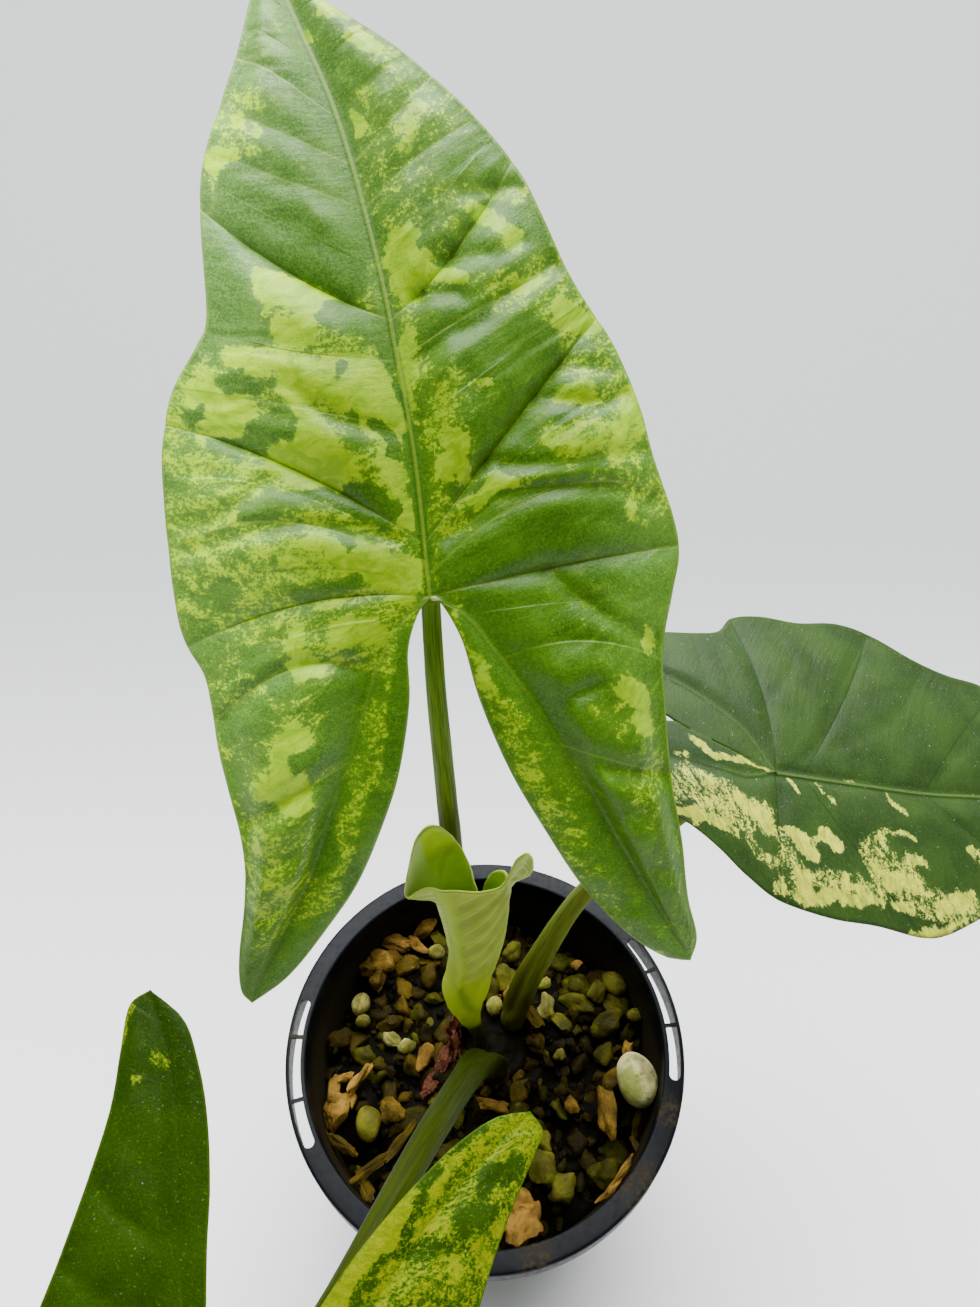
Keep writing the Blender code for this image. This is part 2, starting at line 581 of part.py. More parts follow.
def blade_surface(leaf):
    """The open upper surface of a blade, in its own frame, with a weight for how thick its ribs are."""
    shape = bmesh.new()
    weight = shape.verts.layers.float.new("rib")
    tip_y = leaf["midrib"][-1][1]

    def add(point, lift, rib):
        x, y = point
        corner = shape.verts.new((x * MM, y * MM, (blade_form(leaf, x, y) + lift) * MM))
        corner[weight] = rib
        return corner

    def fill(grid):
        for first, second in zip(grid, grid[1:]):
            for a, b, c, d in zip(first, first[1:], second[1:], second):
                shape.faces.new((a, b, c, d))

    for half in ("left", "right"):
        column = 1 if half == "left" else 2
        outer, inner = [], []
        for row in vein_rows(leaf):
            k, u = row
            spine, margin, bow, swell = row_on_half(leaf, half, row)
            vein_a = row_on_half(leaf, half, (k, 0.0))
            vein_b = row_on_half(leaf, half, (k, 1.0))
            on_vein = leaf["veins"][k][column][1] if u == 0 else 0.0
            rib = 1 - 0.65 * ease(0, tip_y, spine[1])
            if spine[1] < 0:
                rib = LOBE_RIB * (1 + spine[1] / LOBE_RIB_REACH)
            length = np.linalg.norm(margin - spine)
            line = []
            for share in ACROSS:
                gap = np.linalg.norm(along_row(*vein_a[:3], share) - along_row(*vein_b[:3], share))
                wide = min(1.0, gap / FULL_GAP, length / FULL_ROW)
                lift = leaf["quilt"] * wide * swell * ease(0, 0.3, share) * (1 - 0.7 * ease(0.7, 1, share))
                thick = rib if share == 0 else SIDE_VEIN_RIB * on_vein * (1 - ease(0.3, 0.95, share))
                line.append(add(along_row(spine, margin, bow, share), lift, thick))
            outer.append(line)
            if spine[1] <= 0:
                edge = np.array((side_of(leaf[half]["sinus"], spine[1]), spine[1]))
                width = np.linalg.norm(edge - spine)
                line = []
                for share in ACROSS_INNER:
                    lift = INNER_LIFT * leaf["quilt"] * min(1.0, width / FULL_INNER) * math.sin(math.pi * share)
                    line.append(add(spine + (edge - spine) * share, lift, rib if share == 0 else 0.0))
                inner.append(line)
        fill(outer)
        fill(inner)
    bmesh.ops.remove_doubles(shape, verts=shape.verts, dist=0.06 * MM)
    bmesh.ops.dissolve_degenerate(shape, edges=shape.edges, dist=0.02 * MM)
    bmesh.ops.triangulate(shape, faces=shape.faces)
    bmesh.ops.recalc_face_normals(shape, faces=shape.faces)
    if sum(face.normal.z for face in shape.faces) < 0:
        bmesh.ops.reverse_faces(shape, faces=shape.faces)
    return shape


def make_blade(name, leaf, colour, parts):
    shape = blade_surface(leaf)
    weight = shape.verts.layers.float["rib"]
    weights = [corner[weight] for corner in shape.verts]
    blade = object_from_bmesh(name, shape, parts, plain_material(name + "_green", colour, 0.4))
    ribs = blade.vertex_groups.new(name="ribs")
    for index, value in enumerate(weights):
        ribs.add([index], value, "REPLACE")
    solid = blade.modifiers.new("Thickness", "SOLIDIFY")
    solid.thickness = RIB_THICKNESS * MM
    solid.offset = -1
    solid.vertex_group = "ribs"
    solid.thickness_vertex_group = BLADE_THICKNESS / RIB_THICKNESS
    blade.rotation_mode = "YXZ"
    blade.location = leaf_matrix(leaf).translation
    blade.rotation_euler = (math.radians(leaf["climb"]), math.radians(leaf["roll"]), math.radians(-leaf["heading"]))
    shade(blade, 50)


def stem_route(stem):
    """Route points and radii of a stem, from its socket to the underside of its blade."""
    points = [np.array((x, y, POT_HEIGHT + z)) for x, y, z in stem["route"]]
    radii = list(stem["radius"])
    frame = leaf_matrix(stem["leaf"])
    under = RIB_THICKNESS + CLEARANCE
    for depth in (stem["bend"][2], 0.0):
        shift = stem["bend"][1] if depth else 0.0
        place = frame @ (Vector((0, shift, depth - under)) * MM)
        points.append(np.array(place) / MM)
        radii.append(stem["end_radius"])
    return np.column_stack((np.array(points), np.array(radii)))


def make_stem(name, stem, parts):
    """A round stem whose lower part is a grooved sheath, open towards the crown."""
    line = through_points(stem_route(stem), samples=10)
    walked = np.concatenate(([0.0], np.cumsum(np.linalg.norm(np.diff(line[:, :3], axis=0), axis=1))))
    length = walked[-1]
    stations = np.concatenate(([0.0, 4.5, 7.0], np.arange(12.0, length - 4, STEM_STEP), [length - 2.4, length]))
    shape = bmesh.new()
    rings = []
    for place in stations:
        centre = np.array([np.interp(place, walked, line[:, axis]) for axis in range(3)])
        radius = float(np.interp(place, walked, line[:, 3]))
        ahead = np.array([np.interp(min(length, place + 0.8), walked, line[:, axis]) for axis in range(3)])
        behind = np.array([np.interp(max(0.0, place - 0.8), walked, line[:, axis]) for axis in range(3)])
        forward = Vector(ahead - behind).normalized()
        if place == 0.0:
            forward = Vector((0, 0, 1))
        inward = Vector((CROWN_CENTRE[0] - centre[0], CROWN_CENTRE[1] - centre[1], 20.0))
        inward = (inward - forward * inward.dot(forward)).normalized()
        across = forward.cross(inward)
        sheath = ease(4.5, 10, place) * (1 - ease(0.15 * length, SHEATH_SHARE * length, place))
        ring = []
        for k in range(STEM_SIDES):
            a = math.tau * k / STEM_SIDES
            off = abs((math.degrees(a) + 180) % 360 - 180)
            lips = 0.26 * math.exp(-((off - 60) / 24) ** 2) - 0.30 * math.exp(-(off / 26) ** 2)
            r = radius * (1 + sheath * lips)
            spot = Vector(centre) + (inward * math.cos(a) + across * math.sin(a)) * r
            ring.append(shape.verts.new(spot * MM))
        rings.append(ring)
    for first, second in zip(rings, rings[1:]):
        for k in range(STEM_SIDES):
            n = (k + 1) % STEM_SIDES
            shape.faces.new((first[k], first[n], second[n], second[k]))
    shape.faces.new(list(reversed(rings[0])))
    shape.faces.new(rings[-1])
    bmesh.ops.triangulate(shape, faces=[face for face in shape.faces if len(face.verts) == 4])
    bmesh.ops.recalc_face_normals(shape, faces=shape.faces)
    made = object_from_bmesh(name, shape, parts, plain_material(name + "_green", stem["colour"], 0.45))
    shade(made, 50)


def roll_point(column_share, row_share):
    """A point of the rolled leaf, in millimetres above the pot's base."""
    stations = np.array(ROLL_STATIONS, float)
    rim = np.array(ROLL_RIM, float)
    bottom = stations[0, 0]
    round_rim = column_share * stations[-1, 6]
    z_rim, shift_x, shift_y = (float(np.interp(round_rim, rim[:, 0], rim[:, n])) for n in (1, 2, 3))
    z = bottom + (z_rim - bottom) * row_share
    x, y, radius, flat, start, turn = (float(np.interp(z, stations[:, 0], stations[:, n])) for n in range(1, 7))
    travelled = column_share * turn
    r = radius - ROLL_GAP * min(1.0, radius / 5) * ease(190, 350, travelled)
    a = math.radians(start - travelled)
    flare = ease(ROLL_FLARE_FROM, z_rim, z)
    return Vector((x + r * math.sin(a) + shift_x * flare, y - r * flat * math.cos(a) + shift_y * flare,
                   POT_HEIGHT + z))


def make_unfurling_leaf(parts):
    shape = bmesh.new()
    grid = []
    for j in range(ROLL_ROWS + 1):
        share = (j / ROLL_ROWS) ** 0.85
        grid.append([shape.verts.new(roll_point(k / ROLL_COLUMNS, share) * MM) for k in range(ROLL_COLUMNS + 1)])
    for first, second in zip(grid, grid[1:]):
        for a, b, c, d in zip(first, first[1:], second[1:], second):
            shape.faces.new((b, a, d, c))
    bmesh.ops.triangulate(shape, faces=shape.faces)
    made = object_from_bmesh("unfurling_leaf", shape, parts, plain_material("new_leaf_lime", (0.33, 0.5, 0.13), 0.45))
    solid = made.modifiers.new("Thickness", "SOLIDIFY")
    solid.thickness = ROLL_THICKNESS * MM
    solid.offset = -1
    shade(made, 50)


def main():
    clear_scene()
    parts = new_collection("potted_alocasia", bpy.context.scene.collection)
    cutters = new_collection("cutters", bpy.context.scene.collection)
    make_pot(parts, cutters)
    make_mix(parts, cutters)
    make_corm(parts, cutters)
    for name, stem in STEMS.items():
        make_stem(name, stem, parts)
    make_blade("blade_tall", TALL_LEAF, (0.14, 0.32, 0.045), parts)
    make_blade("blade_right", RIGHT_LEAF, (0.045, 0.12, 0.03), parts)
    make_blade("blade_front", FRONT_LEAF, (0.04, 0.11, 0.025), parts)
    make_unfurling_leaf(parts)


main()
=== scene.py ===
# %% [markdown]
# # A potted alocasia, dressed for the camera
# The solids of this plant are already packed: a pot, its bark mix, the crown, three stems, three blades and
# a new leaf that is still rolled up. They are right in size and place, but plain. In this lesson each of
# them gets a finer skin in the same place: blades with sunken veins and cushions between them, lime
# markings, a rolled leaf with a thin hem, a pot with a soft lip, and a bed of separate chips. Sizes are in
# millimetres while we think, and in metres once they reach Blender.

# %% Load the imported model
import math

import bmesh
import bpy
import numpy as np
from mathutils import Matrix, Vector


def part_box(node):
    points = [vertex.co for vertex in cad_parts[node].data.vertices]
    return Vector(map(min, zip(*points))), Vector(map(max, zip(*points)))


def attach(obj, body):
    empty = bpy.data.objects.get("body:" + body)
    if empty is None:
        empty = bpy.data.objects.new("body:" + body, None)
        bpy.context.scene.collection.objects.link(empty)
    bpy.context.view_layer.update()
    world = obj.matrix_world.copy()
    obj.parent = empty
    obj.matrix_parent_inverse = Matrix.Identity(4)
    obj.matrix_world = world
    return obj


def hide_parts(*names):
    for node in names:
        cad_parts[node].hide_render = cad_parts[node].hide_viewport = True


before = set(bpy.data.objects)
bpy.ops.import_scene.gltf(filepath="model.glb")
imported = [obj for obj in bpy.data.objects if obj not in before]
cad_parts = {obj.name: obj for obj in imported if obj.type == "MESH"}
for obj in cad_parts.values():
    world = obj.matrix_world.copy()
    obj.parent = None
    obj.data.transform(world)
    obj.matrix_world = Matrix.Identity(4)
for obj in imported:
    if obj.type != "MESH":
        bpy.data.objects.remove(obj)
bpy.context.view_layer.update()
MM = 0.001
RIM_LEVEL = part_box("pot")[1].z / MM
print("packed nodes:", ", ".join(sorted(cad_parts)))
print("the rim stands", round(RIM_LEVEL, 1), "mm above the floor")

# %% [markdown]
# ## Camera
# A photograph taken close to a plant has strong perspective: the tall leaf is half as far from the lens as
# the pot. The round rim of the pot tells where the camera was, because a circle seen at a slant becomes an
# ellipse. The lens, the pitch and the place below were worked out from that ellipse, and they decide how
# every leaf lines up. Depth of field stays off, so that the pot is sharp from every side.

# %% Camera
EYE = Vector((1.94, -85.93, RIM_LEVEL + 265.9)) * MM
CAMERA_PITCH = math.radians(50.43)
CAMERA_ROLL = math.radians(-0.324)
PICTURE_HEIGHT = 1307
FOCAL_LENGTH_PIXELS = 982
SENSOR_MM = 36.0


def new_object(name, data):
    """Put a camera, a lamp or a mesh into the scene."""
    made = bpy.data.objects.new(name, data)
    bpy.context.collection.objects.link(made)
    return made


lens = bpy.data.cameras.new("camera")
lens.sensor_width = SENSOR_MM
lens.lens = SENSOR_MM * FOCAL_LENGTH_PIXELS / PICTURE_HEIGHT
lens.clip_start = 0.01
camera = new_object("camera", lens)
aim = Matrix.Rotation(math.pi / 2 - CAMERA_PITCH, 4, "X") @ Matrix.Rotation(CAMERA_ROLL, 4, "Z")
camera.matrix_world = Matrix.Translation(EYE) @ aim
bpy.context.scene.camera = camera
print("lens", round(lens.lens, 1), "mm")

# %% [markdown]
# ## Shader helpers
# Every finish here is procedural: its pattern is worked out from places on the surface and needs no
# picture. Node trees get long when they are typed out, so a few small helpers add one node each and return
# the socket that the next node needs. Colours are written as they look on a screen, from 0 to 255, and
# turned into the linear values that a renderer adds up. One material at a time lies on the bench, so the
# helpers need not be told which one they add to.

# %% Shader helpers
# The node tree and the main shader of the material in hand
bench = {}


def screen_colour(red, green, blue):
    """A colour read off a screen, as linear values with alpha."""
    shares = [value / 255 for value in (red, green, blue)]
    return (*(c / 12.92 if c < 0.04045 else ((c + 0.055) / 1.055) ** 2.4 for c in shares), 1.0)


def connect(value, socket):
    """Link a socket to an input, or set the input to a plain value."""
    if isinstance(value, bpy.types.NodeSocket):
        bench["tree"].links.new(value, socket)
    else:
        socket.default_value = value


def plug(name, value):
    """Give an input of the main shader a value or a link."""
    connect(value, bench["shader"].inputs[name])


def new_finish(name, roughness=0.5):
    """Start a new material. From here on it lies on the bench."""
    material = bpy.data.materials.new(name)
    material.use_nodes = True
    bench["tree"] = material.node_tree
    bench["shader"] = material.node_tree.nodes["Principled BSDF"]
    plug("Roughness", roughness)
    return material


def add_node(kind, inputs, **settings):
    """Add a shader node. Inputs go in by name or number: a socket is linked, a value is set."""
    node = bench["tree"].nodes.new("ShaderNode" + kind)
    for key, value in settings.items():
        setattr(node, key, value)
    for key, value in inputs.items():
        connect(value, node.inputs[key])
    return node


def reading(name, output="Fac"):
    """What the mesh says at this place, by the name of its attribute."""
    return add_node("Attribute", {}, attribute_name=name).outputs[output]


def grain(place, size, detail=3.0, roughness=0.5, distortion=0.0):
    """Cloudy noise whose lumps are about this size, in the units of the place."""
    inputs = {"Vector": place, "Scale": 1 / size, "Detail": detail, "Roughness": roughness,
              "Distortion": distortion}
    return add_node("TexNoise", inputs).outputs["Fac"]


def stretch(place, x, y, z=1.0):
    """The same place with its axes scaled, so that a pattern gets longer or shorter along them."""
    return add_node("VectorMath", {0: place, 1: (x, y, z)}, operation="MULTIPLY").outputs[0]


def sums(operation, first, second=0.0, third=0.0):
    """Any other sum of up to three values."""
    return add_node("Math", {0: first, 1: second, 2: third}, operation=operation).outputs[0]


def times(value, factor, plus=None):
    """A value times a factor, and something more if it is given."""
    if plus is None:
        return sums("MULTIPLY", value, factor)
    return sums("MULTIPLY_ADD", value, factor, plus)


def fade(value, low, high, start=0.0, end=1.0):
    """Turn a value between low and high into one between start and end, and stop there."""
    inputs = {"Value": value, "From Min": low, "From Max": high, "To Min": start, "To Max": end}
    return add_node("MapRange", inputs, interpolation_type="SMOOTHSTEP").outputs["Result"]


def tint(amount, below, above):
    """Mix two colours by an amount. Three plain numbers are a screen colour."""
    below, above = (screen_colour(*c) if isinstance(c, tuple) else c for c in (below, above))
    return add_node("Mix", {0: amount, 6: below, 7: above}, data_type="RGBA").outputs[2]


def relief(height, depth_mm, strength=1.0, under=None):
    """Bumps of this depth, laid over another relief if there is one."""
    inputs = {"Height": height, "Distance": depth_mm * MM, "Strength": strength}
    if under:
        inputs["Normal"] = under
    return add_node("Bump", inputs).outputs["Normal"]


def in_mm():
    """The place in the object's own space, in millimetres."""
    return stretch(add_node("TexCoord", {}).outputs["Object"], 1 / MM, 1 / MM, 1 / MM)


def finished(material, colour, roughness, bumps, shine=0.5):
    """Plug a pattern into the main shader and hand over the material."""
    pattern = {"Base Color": colour, "Roughness": roughness, "Normal": bumps, "Specular IOR Level": shine}
    for name, value in pattern.items():
        plug(name, value)
    return material


print("shader helpers ready")

# %% [markdown]
# ## Light and floor
# The plant was photographed on a pale table in a bright room. The light comes from a wide part of the
# ceiling, a little behind the plant, and that is what draws the silver sheen: on a waxy leaf only the
# slopes that lean back towards the top of the picture mirror it. The side of the viewer is dimmer. Here the
# ceiling is painted into the world: a wide bright cap with a soft edge, over a glow that is stronger behind
# the plant than in front. It gives softer shadows than a lamp. A faint area lamp adds a little crispness.
# The floor is one wide disc, so its far edge never shows, and a painted shade makes it a little greyer behind
# the plant.

# %% Light and floor
LAMP_HEIGHT_M = 1.45
LAMP_SIZE_M = 0.9
LAMP_WATTS = 7.0
DIM_SIDE = 0.10
BRIGHT_SIDE = 0.6
CAP_GLOW = 13.5
CAP_TILT = math.radians(32)
CAP_EDGE = (math.cos(math.radians(40)), math.cos(math.radians(14)))
FLOOR_RADIUS_M = 6.0

lamp = bpy.data.lights.new("overhead_softbox", "AREA")
lamp.shape = "DISK"
lamp.size = LAMP_SIZE_M
lamp.energy = LAMP_WATTS
lamp.color = (1.0, 0.995, 0.98)
softbox = new_object("overhead_softbox", lamp)
softbox.location = (0.05, 0.70, LAMP_HEIGHT_M)
softbox.rotation_euler.x = -math.radians(26)

room = bpy.data.worlds.new("bright_room")
room.use_nodes = True
bench["tree"] = room.node_tree
backdrop = room.node_tree.nodes["Background"]
direction = add_node("TexCoord", {}).outputs["Generated"]
cap_axis = (0.0, math.sin(CAP_TILT), math.cos(CAP_TILT))
window_axis = (0.25, 0.95, 0.15)
towards_cap, towards_window = (
    add_node("VectorMath", {0: direction, 1: axis}, operation="DOT_PRODUCT").outputs["Value"]
    for axis in (cap_axis, window_axis))
side_glow = fade(towards_window, -0.75, 0.45, DIM_SIDE, BRIGHT_SIDE)
cap_glow = fade(towards_cap, CAP_EDGE[0], CAP_EDGE[1], 0.0, CAP_GLOW)
glow = sums("ADD", side_glow, cap_glow)
connect((0.97, 0.985, 1.0, 1.0), backdrop.inputs["Color"])
connect(glow, backdrop.inputs["Strength"])
bpy.context.scene.world = room


def from_shape(name, shape):
    """An object made of a finished bmesh."""
    mesh = bpy.data.meshes.new(name)
    shape.to_mesh(mesh)
    shape.free()
    return new_object(name, mesh)


disc = bmesh.new()
bmesh.ops.create_circle(disc, cap_ends=True, segments=96, radius=FLOOR_RADIUS_M)
floor = from_shape("floor", disc)
floor.location.z = -0.0005
paper = new_finish("pale_paper", 0.75)
clouds = grain(in_mm(), 260.0, 2.0)
near = tint(clouds, (234, 234, 233), (239, 239, 238))
# Painted shade: the floor's colour turns greyer towards the back, where less light reaches it
depth = add_node("SeparateXYZ", {"Vector": in_mm()}).outputs["Y"]
colour = tint(fade(depth, -40.0, 300.0), near, (166, 167, 167))
plug("Base Color", colour)
floor.data.materials.append(paper)
print("ceiling glow", CAP_GLOW, "over a room glow of", DIM_SIDE, "to", BRIGHT_SIDE)

# %% [markdown]
# ## Lines and soft noise
# Leaf outlines are drawn like a dressmaker's pattern: a few points, and a smooth curve through them. The
# Catmull-Rom curve is good for this, because it passes through every point that was set.
# The blades also need small irregular waves. A table of random numbers, read with smooth steps between its
# cells, gives the same waves in every run because its seed is fixed.

# %% Lines and soft noise
def smooth_line(points, per_gap=16):
    """A smooth line through given points, as an array."""
    knots = np.array(points, float)
    knots = np.vstack((2 * knots[0] - knots[1], knots, 2 * knots[-1] - knots[-2]))
    t = (np.arange(per_gap) / per_gap)[:, None]
    line = []
    for a, b, c, d in zip(knots, knots[1:], knots[2:], knots[3:]):
        line.append(0.5 * (2 * b + (c - a) * t + (2 * a - 5 * b + 4 * c - d) * t ** 2
                           + (3 * b - a - 3 * c + d) * t ** 3))
    return np.vstack(line + [knots[-2]])


def x_at(points, y):
    """The x of an outline at each y."""
    line = smooth_line(points)
    order = np.argsort(line[:, 1])
    return np.interp(y, line[order, 1], line[order, 0])


def ease(low, high, value):
    """From 0 at low to 1 at high, with a soft start and end."""
    t = np.clip((np.asarray(value, float) - low) / (high - low), 0, 1)
    return t * t * (3 - 2 * t)


def waves(x, y, cell, seed):
    """Soft random waves between -1 and 1, with lumps about one cell wide."""
    table = np.random.default_rng(seed).uniform(-1, 1, (64, 64))
    x, y = np.asarray(x, float) / cell, np.asarray(y, float) / cell
    column, row = np.floor(x).astype(int), np.floor(y).astype(int)
    u, v = ease(0, 1, x - column), ease(0, 1, y - row)

    def at(dx, dy):
        return table[(row + dy) % 64, (column + dx) % 64]

    low = at(0, 0) * (1 - u) + at(1, 0) * u
    high = at(0, 1) * (1 - u) + at(1, 1) * u
    return low * (1 - v) + high * v


def distance_to_lines(x, y, lines):
    """How far each place is from the nearest of some lines."""
    best = np.full(np.shape(x), 1e3)
    for points in lines:
        line = smooth_line(points, 5)
        for (ax, ay), (bx, by) in zip(line, line[1:]):
            run_x, run_y = bx - ax, by - ay
            along = np.clip(((x - ax) * run_x + (y - ay) * run_y) / (run_x ** 2 + run_y ** 2), 0, 1)
            best = np.minimum(best, np.hypot(x - ax - along * run_x, y - ay - along * run_y))
    return best


print("a wave table repeats after 64 cells")

# %% [markdown]
# ## Pattern of the tall leaf
# A leaf of this kind is an arrow head with two back lobes. Its own flat frame has the stem's junction at
# (0, 0), x across the midrib and y towards the tip. The pattern gives the midrib, the outer margin of each
# half, the vein down each back lobe and the inner margin beside the gap. Each row of "veins" is one line
# from the rib to the margin: where it starts (a place on the midrib, or below zero a share of the back
# lobe), then for the left and the right half where it meets the margin, how deep its furrow is and how far
# it bows. Shallow rows steer the flow between the real veins.

# %% Pattern of the tall leaf
TALL_LIME = (
    # wide mottled grounds
    (-12, 46, -1, 6, 10, 0.42), (-35, 29, -14, 16, 9, 0.5), (-35, 8, -5, -6, 10, 0.44),
    (-27, -14, -23, -56, 9, 0.31), (3, 78, -1, 51, 8, 0.3), (3, 30, 3, 18, 5, 0.3), (23, 46, 34, 16, 6, 0.36),
    (13, 45, 27, 41, 4, 0.4), (-25, 76, -27, 67, 4, 0.42), (8, -1, 36, -56, 9, 0.22),
    # clear lime on the left half
    (-10, 33, -5, 29, 5, 1), (-13, 34, -18, 32, 3, 0.9), (-5, 24, -4, 20, 2.4, 1), (-21, 23, -15, 19, 2.7, 1),
    (-18, 27, -12, 20, 2.4, 1), (-21, 48, -13, 45, 2.7, 0.95), (-22, 46, -23, 45, 1.7, 0.95),
    (-19, 40, -16, 41, 2.4, 0.85), (-27, 37, -13, 34, 2.2, 0.75), (-33, 32, -28, 28, 3.1, 0.9),
    (-4, 15, -3, 11, 1.5, 1), (-11, 7, -4, 3, 2.9, 1), (-16, 8, -13, 5, 2.4, 1), (-19, 7, -15, 3, 3.4, 0.6),
    (-13, -5, -9, -5, 2.2, 0.8), (-23, -10, -19, -9, 1.4, 1), (-21, -7, -20, -5, 1.4, 0.85),
    (-22, -21, -23, -29, 3.1, 1), (-27, -29, -22, -26, 1.7, 1), (-9, -15, -12, -28, 2, 0.38),
    (-13, -28, -16, -41, 1.7, 0.41), (-18, -42, -20, -47, 1.8, 0.4), (-28, -35, -28, -47, 2.8, 0.46),
    (-24, 75, -24, 73, 0.9, 0.9), (-28, 69, -26, 65, 2.1, 0.75), (-23, 68, -22, 67, 1.2, 0.8),
    (-21, 72, -21, 71, 0.7, 0.8),
    # along the midrib and at the tip
    (0, 54, -1, 47, 2.4, 1), (2, 51, 1, 48, 1.4, 1), (-1, 39, -2, 36, 1.2, 1), (-2, 35, -2, 34, 0.7, 0.9),
    (-6, 86, -4, 84, 1.6, 1), (-11, 92, -9, 90, 1.7, 0.8), (-13, 88, -13, 86, 0.9, 0.9),
    (-11, 78, -10, 75, 0.7, 0.9), (-7, 73, -7, 70, 0.9, 0.8),
    # clear lime on the right half
    (4, 48, 8, 48, 1.4, 0.9), (17, 46, 20, 47, 1.2, 0.8), (23, 42, 27, 41, 1.9, 0.95),
    (22, 30, 26, 30, 1.4, 0.75), (33, 30, 33, 24, 1.6, 0.8), (21, 23, 31, 22, 2.6, 0.65),
    (8, 14, 12, 17, 1.5, 0.9), (3, 19, 6, 22, 1.4, 1), (5, 24, 6, 19, 1.2, 0.95), (2, 24, 5, 31, 1.5, 0.55),
    (29, 11, 32, 11, 1.4, 0.7), (9, 31, 10, 31, 1, 0.7), (30, -16, 33, -21, 1.8, 0.9),
    (34, -7, 34, -10, 1.2, 0.8), (34, -28, 32, -34, 2, 0.42), (5, -3, 10, -17, 1.6, 0.75),
    (10, -17, 17, -35, 2.1, 0.43), (18, -36, 23, -47, 2.2, 0.34), (29, -21, 25, -24, 2.5, 0.35),
    (11, 62, 17, 61, 1.7, 0.5), (10, 58, 14, 55, 1.5, 0.7), (15, 54, 16, 53, 1.2, 0.9),
    (0, 68, 3, 74, 1.7, 0.6),
    # green blotches on top
    (-6, 26, -4, 21, 1.2, 0), (-12, 16, -6, 13, 2, 0), (-19, 17, -15, 17, 1.2, 0.15),
    (-11, 36, -11, 34, 0.8, 0), (-10, 27, -10, 24, 1.2, 0.15), (-28, 33, -24, 33, 1.5, 0.1),
    (-25, 26, -20, 27, 2.4, 0.15), (-31, 25, -28, 24, 1.4, 0.05), (-35, 29, -33, 30, 1, 0),
    (-13, 43, -6, 41, 2.4, 0.1), (-4, 42, -4, 36, 1.5, 0.15), (-26, 14, -20, 16, 2, 0.1),
    (-14, 10, -12, 9, 1.4, 0.1), (-20, 2, -11, 3, 1.4, 0.15), (-27, -9, -24, -11, 2.2, 0.05),
    (-14, -13, -10, -13, 1.9, 0.05), (-20, -24, -15, -22, 2.8, 0.02), (-32, -18, -28, -17, 2.4, 0.1),
    (-32, -25, -31, -30, 1.8, 0.2), (-17, -29, -20, -41, 1.8, 0.05), (-4, -6, -7, -25, 1.6, 0.03),
    (-9, -31, -15, -44, 1.8, 0.05), (-33, -62, -19, -51, 2.9, 0.12), (-33, 1, -30, 3, 2.4, 0.2),
    (-24, 63, -9, 55, 5.1, 0.02), (-27, 57, -9, 47, 2.4, 0.03), (-32, 55, -26, 44, 3.1, 0.08),
    (-17, 72, -10, 67, 3.4, 0.06), (-15, 83, -11, 75, 3.4, 0.05), (-2, 24, 0, 6, 1.2, 0.08),
    (-3, 33, -1, 25, 0.8, 0.12), (6, 5, 27, 9, 4.5, 0.06), (15, 19, 27, 17, 2.4, 0.2),
    (11, -4, 19, -14, 6.6, 0.03), (19, -20, 25, -26, 3.5, 0.05), (25, -34, 33, -52, 4, 0.12),
    (8, 40, 19, 37, 3.8, 0.12), (3, 58, 2, 53, 0.9, 0.1), (9, 66, 12, 65, 3.4, 0.08),
    (30, 4, 36, -3, 3.5, 0.1),
)
